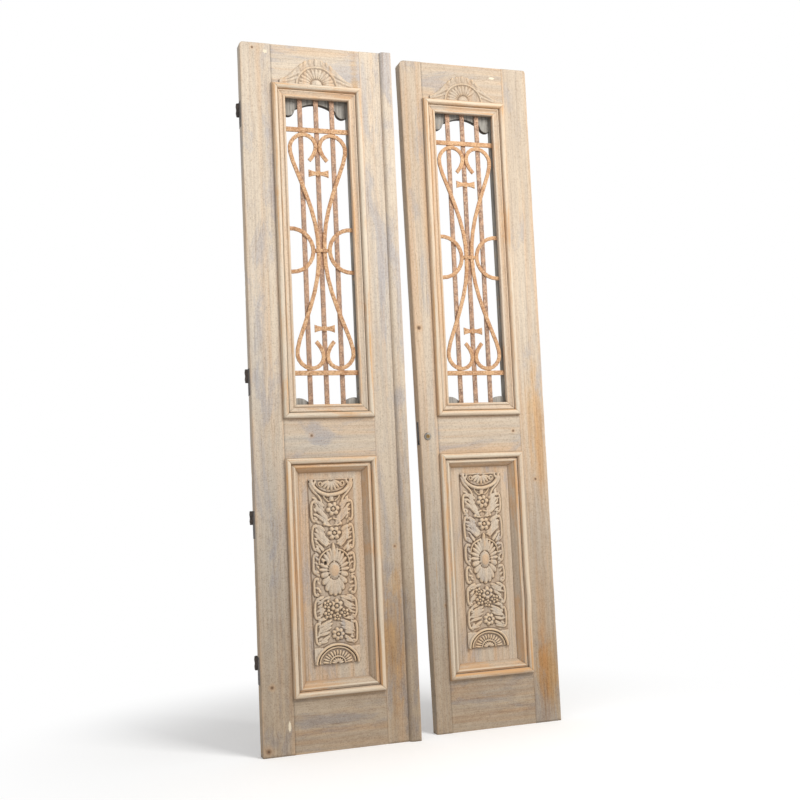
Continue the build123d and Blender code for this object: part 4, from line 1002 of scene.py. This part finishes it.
def rust(name, low, high):
    """Dry rust on old flat bar, pitted and uneven, between two tones."""
    s = Shader(name)
    place = s.place()
    cloud = s.noise(place, scale=48.0, detail=5.0, roughness=0.7)
    speck = s.noise(place, scale=230.0, detail=4.0, roughness=0.72)
    pits = s.noise(place, scale=640.0, detail=2.0, roughness=0.6)
    colour = s.mix(low, high, s.step(cloud, 0.38, 0.62))
    colour = s.mix(colour, linear(104, 76, 58), s.math("MULTIPLY", s.step(speck, 0.52, 0.62), 0.75))
    colour = s.mix(colour, linear(224, 200, 170), s.math("MULTIPLY", s.step(speck, 0.47, 0.38), 0.75))
    normal = s.bump(s.math("ADD", speck, s.math("MULTIPLY", pits, 0.5)), 0.7, 1.0 * MM)
    rough = s.math("ADD", 0.7, s.math("MULTIPLY", speck, 0.2))
    return s.finish(colour, rough, normal, specular=0.25)


def old_iron(name, base, light, metallic=0.4):
    """Darkened iron, steel or brass with dull bright rubs."""
    s = Shader(name)
    place = s.place()
    cloud = s.noise(place, scale=60.0, detail=4.0, roughness=0.65)
    speck = s.noise(place, scale=420.0, detail=3.0, roughness=0.7)
    colour = s.mix(base, light, s.step(cloud, 0.42, 0.68))
    colour = s.mix(colour, linear(112, 74, 50), s.math("MULTIPLY", s.step(speck, 0.55, 0.75), 0.6))
    normal = s.bump(s.math("ADD", cloud, speck), 0.4, 0.4 * MM)
    rough = s.math("ADD", 0.42, s.math("MULTIPLY", speck, 0.3))
    return s.finish(colour, rough, normal, specular=0.5, metallic=metallic)


def grey_paint(name):
    """Worn grey paint on wood, thin enough for the grain to show, with painted shade on the faces that look down."""
    s = Shader(name)
    place = s.place()
    grain = s.noise(s.scaled(place, (160, 160, 9)), detail=4.0, roughness=0.65)
    worn = s.noise(place, scale=38.0, detail=6.0, roughness=0.72)
    colour = s.mix(linear(176, 172, 164), linear(138, 134, 128), s.step(grain, 0.4, 0.65))
    colour = s.mix(colour, linear(186, 160, 128), s.math("MULTIPLY", s.step(worn, 0.56, 0.66), 0.8))
    colour = s.mix(colour, linear(84, 76, 68), s.math("MULTIPLY", s.step(worn, 0.42, 0.3), 0.6))
    # Painted shade: faces that look down are made dark.
    facing = s.node("ShaderNodeNewGeometry")
    below = s.step(s.axis(facing.outputs["Normal"], 2), -0.1, -0.5)
    colour = s.mix(colour, linear(62, 54, 47), s.math("MULTIPLY", below, 0.85))
    normal = s.bump(s.math("ADD", grain, worn), 0.4, 0.6 * MM)
    return s.finish(colour, 0.8, normal, specular=0.25)


def paint_with(obj, material):
    """Give a piece one material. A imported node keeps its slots, and each gets the material."""
    if obj.data.materials:
        for place in range(len(obj.data.materials)):
            obj.data.materials[place] = material
    else:
        obj.data.materials.append(material)


# Build the wood of both leaves
KNOTS = {
    "left": ((-0.4885, 0.214, 0.008), (-0.4815, 2.283, 0.005), (-0.506, 0.02, 0.012), (-0.065, 0.63, 0.006),
             (-0.33, 1.0, 0.007)),
    "right": ((0.07, 1.36, 0.009), (0.475, 0.83, 0.006), (0.40, 1.0, 0.006), (0.12, 0.42, 0.006)),
}

# Pale bare chips and patches: x, z and half sizes
CHIPS = {
    "left": ((-0.4365, 0.089, 0.0045, 0.016), (-0.4385, 2.273, 0.007, 0.006)),
    "right": ((0.39, 2.262, 0.010, 0.004),),
}

# Large stains, warm or grey: x, z, half sizes, tint and strength
WARM_TINT = (1.0, 0.76, 0.48, 1.0)
GREY_TINT = (0.87, 0.94, 1.04, 1.0)
STAINS = {
    "left": (
        (-0.470, 0.62, 0.050, 0.34, GREY_TINT, 0.75), (-0.080, 0.32, 0.050, 0.24, WARM_TINT, 0.9),
        (-0.135, 2.15, 0.020, 0.18, WARM_TINT, 0.7), (-0.500, 1.25, 0.030, 0.25, GREY_TINT, 0.5),
        (-0.070, 1.45, 0.030, 0.30, GREY_TINT, 0.6), (-0.330, 0.97, 0.110, 0.05, GREY_TINT, 0.5),
    ),
    "right": (
        (0.480, 0.14, 0.050, 0.17, WARM_TINT, 1.0), (0.475, 0.66, 0.035, 0.20, GREY_TINT, 0.8),
        (0.100, 0.52, 0.045, 0.28, GREY_TINT, 0.75), (0.490, 1.02, 0.040, 0.26, WARM_TINT, 0.7),
        (0.130, 1.75, 0.025, 0.30, WARM_TINT, 0.4), (0.280, 0.13, 0.120, 0.04, GREY_TINT, 0.5),
    ),
}

strip_low, strip_high = box_of("left_cover_strip")


def leaf_wood(leaf, seed):
    """Boards, panel, mouldings and carving of one leaf."""
    name = leaf.name
    marks = (KNOTS[name], CHIPS[name], STAINS[name])
    warmer = 0.3 if leaf.hinge_side > 0 else 0.0
    head = 1.0 if leaf.hinge_side > 0 else 0.1
    stile_wood = pine(f"{name} stiles", 0.35 + warmer, 0.65 - warmer, head=head, marks=marks)
    rail_wood = pine(f"{name} rails", 0.4 + warmer, 0.75 - warmer, head=head, marks=marks)
    panel_wood = pine(f"{name} panel", warm=0.85, grey=0.4, foot_darkening=0.5)
    moulding_wood = pine(f"{name} mouldings", 0.85, 0.2, foot_darkening=0.6, head=head * 0.5, moulding=True)
    carved_wood = pine(f"{name} carving", warm=0.7, grey=0.3, stain=0.2, foot_darkening=0.35, relief=1.0)
    crest_wood = pine(f"{name} crest", 0.5, 0.4, stain=0.2, head=head, relief=0.55)
    low, high = box_of(f"{name}_hinge_stile")
    hinge_first = leaf.hinge_side < 0
    outer_radii = (3.5, 0.8, 0.8, 3.0) if hinge_first else (0.8, 3.5, 3.0, 0.8)
    outer_wear = (1.4, 0.3, 0.3, 1.2) if hinge_first else (0.3, 1.4, 1.2, 0.3)
    edge = low[0] if hinge_first else high[0]
    sense = -1 if hinge_first else 1
    bites = [(edge - sense * 14 * MM, high[2] - 14 * MM, 15 * MM, sense, 1)]
    stile = board(f"worn_{name}_hinge_stile", low, high, 2, seed, outer_radii, outer_wear, bites=bites)
    paint_with(stile, stile_wood)
    stand_for(stile, f"{name}_hinge_stile")
    low, high = box_of(f"{name}_meeting_stile")
    taper = None
    bites = ()
    if not hinge_first:
        shift = 13.5 * MM
        low[0] += shift
        taper = (low[0], shift, high[2])
        bites = [(low[0] + 6 * MM, high[2] - 20 * MM, 20 * MM, -1, 1)]
    inner_radii = (0.8, 3.0, 3.0, 0.8) if hinge_first else (4.5, 0.8, 0.8, 4.0)
    inner_wear = (0.3, 1.0, 1.0, 0.3) if hinge_first else (2.4, 0.3, 0.3, 2.0)
    meeting = board(
        f"worn_{name}_meeting_stile", low, high, 2, seed + 1, inner_radii, inner_wear, taper=taper, bites=bites
    )
    cut_away(meeting, lock_pockets(leaf))
    paint_with(meeting, stile_wood)
    stand_for(meeting, f"{name}_meeting_stile")
    for k, rail in enumerate(("bottom_rail", "lock_rail", "top_rail")):
        low, high = box_of(f"{name}_{rail}")
        low[0], high[0] = leaf.left, leaf.right
        low[1] += 0.5 * MM
        piece = board(f"worn_{name}_{rail}", low, high, 0, seed + 2 + k, (1, 1, 1, 1), (0.5, 0.5, 0.4, 0.4))
        paint_with(piece, rail_wood)
        stand_for(piece, f"{name}_{rail}")
    low, high = box_of(f"{name}_lower_panel")
    panel = board(f"worn_{name}_lower_panel", low, high, 2, seed + 6, (0.5,) * 4, (0.1,) * 4)
    paint_with(panel, panel_wood)
    stand_for(panel, f"{name}_lower_panel")
    upper = moulding_set(leaf, "upper", *leaf.upper, upper_section(), seed + 10, {})
    lifts = {"right": ((0.25, 0.05, 3.0 * MM),)} if name == "right" else {}
    lower = moulding_set(leaf, "lower", *leaf.lower, lower_section(), seed + 20, lifts)
    for which, pair in (("upper", upper), ("lower", lower)):
        for part, obj in zip(("sides", "ends"), pair):
            paint_with(obj, moulding_wood)
            stand_for(obj, f"{name}_{which}_moulding_{part}")
    low, high = box_of(f"{name}_carved_plaque")
    middle = (low + high) / 2
    field = plaque_relief(seed, ((-29, 25, 7),) if hinge_first else ())
    plaque = relief_object(
        f"carved_{name}_plaque", field, middle[0], middle[2], high[1] - 2.5 * MM, high[1] - 0.2 * MM, seed
    )
    paint_with(plaque, carved_wood)
    stand_for(plaque, f"{name}_carved_plaque")
    low, high = box_of(f"{name}_crest_carving")
    middle = (low + high) / 2
    carving = crest_relief(seed + 1, () if hinge_first else (0, 1, 2))
    crest = relief_object(f"carved_{name}_crest", carving, middle[0], middle[2], leaf.front, None, seed)
    paint_with(crest, crest_wood)
    stand_for(crest, f"{name}_crest_carving")


def cut_away(obj, boxes):
    """Cut straight-sided pockets, each given by its low and high corners, out of a piece."""
    for low, high in boxes:
        mesh = bpy.data.meshes.new("pocket")
        corners = [
            (x, y, z) for x in (low[0], high[0]) for y in (low[1], high[1]) for z in (low[2], high[2])
        ]
        sides = [(0, 1, 3, 2), (4, 6, 7, 5), (0, 4, 5, 1), (2, 3, 7, 6), (0, 2, 6, 4), (1, 5, 7, 3)]
        mesh.from_pydata(corners, [], sides)
        cutter = bpy.data.objects.new("pocket", mesh)
        bpy.context.collection.objects.link(cutter)
        cut = obj.modifiers.new("pocket", "BOOLEAN")
        cut.operation = "DIFFERENCE"
        cut.solver = "EXACT"
        cut.object = cutter
        bpy.context.view_layer.objects.active = obj
        bpy.ops.object.modifier_apply(modifier=cut.name)
        bpy.data.objects.remove(cutter)
        bpy.data.meshes.remove(mesh)


def lock_pockets(leaf):
    """Room in the meeting stile for the lock of the right leaf, or for the keep of the left one."""
    if leaf.name == "right":
        low, high = box_of("right_lock_case")
        middle = (low[1] + high[1]) / 2
        plate = low[0] + EDGE_PLATE_THICKNESS
        half = LOCK_CASE_THICKNESS / 2
        return [
            ((low[0] - 60 * MM, low[1], PLATE_FOOT), (plate, high[1], PLATE_HEAD)),
            ((plate - 1 * MM, middle - half, low[2]), (high[0], middle + half, high[2])),
        ]
    low, high = box_of("left_strike_plate")
    bolt_low, bolt_high = box_of("right_dead_bolt")
    middle = (low[1] + high[1]) / 2
    room = (bolt_high[1] - bolt_low[1]) / 2 + KEEP_CLEARANCE
    return [
        (tuple(low), (high[0] + 20 * MM, high[1], high[2])),
        (
            (high[0] - KEEP_DEPTH, middle - room, bolt_low[2] - KEEP_CLEARANCE),
            (low[0] + 1 * MM, middle + room, bolt_high[2] + KEEP_CLEARANCE),
        ),
    ]


def cover_strip():
    """The left leaf's cover strip: a shaded slope on its left, a flat band and a rounded right edge."""
    width = strip_high[0] - strip_low[0]
    proud = strip_high[1] - strip_low[1]
    profile = [(0, 0), (0, 2 * MM)]
    profile += arc_through((0.4 * MM, 2.6 * MM), (4.5 * MM, proud * 0.75), (14 * MM, proud - 0.3 * MM), 8)
    for k in range(1, 6):
        profile.append((14 * MM + (width - 21 * MM) * k / 6, proud - 0.2 * MM))
    profile += arc_through((width - 7 * MM, proud - 0.3 * MM), (width - 2 * MM, proud - 2 * MM), (width - 0.3 * MM, proud - 7 * MM), 6)
    profile.append((width - 0.3 * MM, 0))
    section = np.array(profile)
    stations = 330
    reach = np.linspace(strip_low[2], strip_high[2], stations + 1)
    points = np.zeros((stations + 1, len(section), 3))
    points[:, :, 0] = strip_low[0] + section[None, :, 0]
    points[:, :, 1] = strip_high[1] - section[None, :, 1]
    points[:, :, 2] = reach[:, None]
    flat = points.reshape(-1, 3)
    slow = value_noise(flat, (60 * MM, 60 * MM, 140 * MM), 5)
    quick = fractal(flat, (8 * MM, 8 * MM, 22 * MM), 9, 2)
    proudness = np.clip((strip_high[1] - flat[:, 1]) / (8 * MM), 0, 1)
    chips = np.clip(quick + 0.4 * slow - 0.55, 0, 1) * 4 * MM
    right_edge = np.exp(-(((flat[:, 0] - strip_high[0]) / (6 * MM)) ** 2))
    flat[:, 1] += (0.3 * MM * (1 + slow) + 0.15 * MM * (1 + quick)) * proudness + chips * proudness * 0.3
    flat[:, 0] -= right_edge * (0.6 * MM * (1 + slow) + chips)
    grain = flat + np.array([3.7, 1.9, 5.3])
    faces = [face[::-1] for face in tube_faces(stations + 1, len(section))]
    obj = make_object("worn_left_cover_strip", flat, faces, {"grain": grain, "wear": right_edge * 0.5})
    paint_with(obj, pine("cover strip", warm=0.35, grey=0.7, foot_darkening=1.3))
    return stand_for(obj, "left_cover_strip")


leaf_wood(LEAVES[0], 3)
leaf_wood(LEAVES[1], 41)
cover_strip()


# Iron, casements and fittings
front_rust = rust("front bars rust", linear(194, 144, 104), linear(222, 178, 134))
rear_rust = rust("rear bars rust", linear(156, 128, 112), linear(200, 160, 132))
casement_paint = grey_paint("casement grey")
dark_iron = old_iron("dark iron", linear(52, 46, 42), linear(88, 78, 70))
worn_steel = old_iron("worn steel", linear(120, 116, 110), linear(166, 160, 150), metallic=0.8)
worn_brass = old_iron("worn brass", linear(128, 104, 66), linear(176, 148, 100), metallic=0.8)

for leaf in LEAVES:
    side = leaf.name
    for part, material in (
        ("grille_uprights", rear_rust), ("grille_crossbars", front_rust), ("grille_scrolls", front_rust),
        ("grille_hoops", front_rust), ("grille_bow_ties", front_rust), ("grille_collar", front_rust),
    ):
        obj = eased_copy(f"{side}_{part}", f"worn_{side}_{part}", 0.9 * MM)
        paint_with(obj, material)
        stand_for(obj, f"{side}_{part}")
    casement = f"{side}_casement"
    for part in ("casement_stiles", "casement_rails"):
        obj = eased_copy(f"{side}_{part}", f"worn_{side}_{part}", 1.2 * MM)
        paint_with(obj, casement_paint)
        stand_for(obj, f"{side}_{part}", casement)
    for part, body in (
        ("door_hinges", "door_leaves"), ("casement_hinge_pins", "door_leaves"),
        ("casement_hinge_leaves", casement), ("turn_button", f"{side}_turn_button"),
    ):
        obj = eased_copy(f"{side}_{part}", f"worn_{side}_{part}", 0.5 * MM)
        paint_with(obj, dark_iron)
        stand_for(obj, f"{side}_{part}", body)
    paint_with(nodes[f"{side}_screws"], dark_iron)

for node, material in (
    ("left_strike_plate", dark_iron), ("left_top_bolt", dark_iron), ("left_bottom_bolt", dark_iron),
    ("left_bolt_guides", dark_iron), ("right_lock_case", dark_iron), ("right_lock_cylinder", worn_steel),
    ("right_key_plug", worn_brass), ("right_dead_bolt", worn_steel),
):
    paint_with(nodes[node], material)


# Floor, light and camera
def floor_material():
    """Pale floor: the camera sees it bright, and its shadow soft; past the shadow it is plain white."""
    s = Shader("floor white")
    away = s.node("ShaderNodeVectorMath", operation="LENGTH")
    s.put(away.inputs[0], s.place())
    distance = s.step(away.outputs["Value"], 0.65, 1.55)
    rays = s.node("ShaderNodeLightPath")
    seen = s.math("MAXIMUM", rays.outputs["Is Camera Ray"], rays.outputs["Is Glossy Ray"])
    seen = s.math("MAXIMUM", seen, rays.outputs["Is Transmission Ray"])
    pale = s.node("ShaderNodeBsdfDiffuse")
    pale.inputs["Color"].default_value = (0.95, 0.95, 0.95, 1)
    lift = s.node("ShaderNodeEmission")
    lift.inputs["Strength"].default_value = 0.11
    lifted = s.node("ShaderNodeAddShader")
    s.put(lifted.inputs[0], pale.outputs[0])
    s.put(lifted.inputs[1], lift.outputs[0])
    glow = s.node("ShaderNodeEmission")
    glow.inputs["Strength"].default_value = 1.0
    shown = s.node("ShaderNodeMixShader")
    s.put(shown.inputs[0], distance)
    s.put(shown.inputs[1], lifted.outputs[0])
    s.put(shown.inputs[2], glow.outputs[0])
    bounce = s.node("ShaderNodeBsdfDiffuse")
    bounce.inputs["Color"].default_value = (0.6, 0.6, 0.6, 1)
    blend = s.node("ShaderNodeMixShader")
    s.put(blend.inputs[0], seen)
    s.put(blend.inputs[1], bounce.outputs[0])
    s.put(blend.inputs[2], shown.outputs[0])
    s.put(s.tree.nodes["Material Output"].inputs["Surface"], blend.outputs[0])
    s.tree.nodes.remove(s.surface)
    return s.material


floor_size = 40
floor_mesh = bpy.data.meshes.new("floor")
half_floor = floor_size / 2
floor_mesh.from_pydata(
    [(-half_floor, -half_floor, 0), (half_floor, -half_floor, 0), (half_floor, half_floor, 0), (-half_floor, half_floor, 0)],
    [],
    [(0, 1, 2, 3)],
)
floor = bpy.data.objects.new("floor", floor_mesh)
bpy.context.collection.objects.link(floor)
floor_mesh.materials.append(floor_material())


def area_light(name, place, target, size, power, colour=(1, 1, 1)):
    lamp = bpy.data.lights.new(name, "AREA")
    lamp.shape = "SQUARE"
    lamp.size = size
    lamp.energy = power
    lamp.color = colour
    obj = bpy.data.objects.new(name, lamp)
    obj.location = place
    direction = Vector(target) - Vector(place)
    obj.rotation_euler = direction.to_track_quat("-Z", "Y").to_euler()
    bpy.context.collection.objects.link(obj)
    return obj


area_light("key", (1.5, -2.9, 3.3), (-0.05, 0, 1.3), 1.5, 116, (1.0, 0.985, 0.96))
area_light("fill", (-3.2, -3.2, 2.2), (0, 0, 1.1), 3.0, 20, (0.96, 0.98, 1.0))

world = bpy.data.worlds.new("studio")
bpy.context.scene.world = world
world.use_nodes = True
tree = world.node_tree
background = tree.nodes["Background"]
background.inputs["Color"].default_value = (1, 1, 1, 1)
paths = tree.nodes.new("ShaderNodeLightPath")
first = tree.nodes.new("ShaderNodeMath")
first.operation = "MAXIMUM"
second = tree.nodes.new("ShaderNodeMath")
second.operation = "MAXIMUM"
tree.links.new(paths.outputs["Is Camera Ray"], first.inputs[0])
tree.links.new(paths.outputs["Is Glossy Ray"], first.inputs[1])
tree.links.new(first.outputs[0], second.inputs[0])
tree.links.new(paths.outputs["Is Transmission Ray"], second.inputs[1])
level = tree.nodes.new("ShaderNodeMapRange")
level.inputs["To Min"].default_value = 0.56
level.inputs["To Max"].default_value = 1.0
tree.links.new(second.outputs[0], level.inputs["Value"])
tree.links.new(level.outputs["Result"], background.inputs["Strength"])

camera_data = bpy.data.cameras.new("camera")
camera_data.lens = CAMERA_LENS
camera_data.sensor_width = 36
camera_data.clip_end = 100
camera = bpy.data.objects.new("camera", camera_data)
forward = CAMERA_FORWARD.normalized()
right = forward.cross(CAMERA_UP).normalized()
upward = right.cross(forward)
camera.matrix_world = Matrix(
    (
        (right.x, upward.x, -forward.x, CAMERA_PLACE.x),
        (right.y, upward.y, -forward.y, CAMERA_PLACE.y),
        (right.z, upward.z, -forward.z, CAMERA_PLACE.z),
        (0, 0, 0, 1),
    )
)
bpy.context.collection.objects.link(camera)
bpy.context.scene.camera = camera
bpy.context.scene.view_settings.view_transform = "Standard"

bpy.context.view_layer.update()
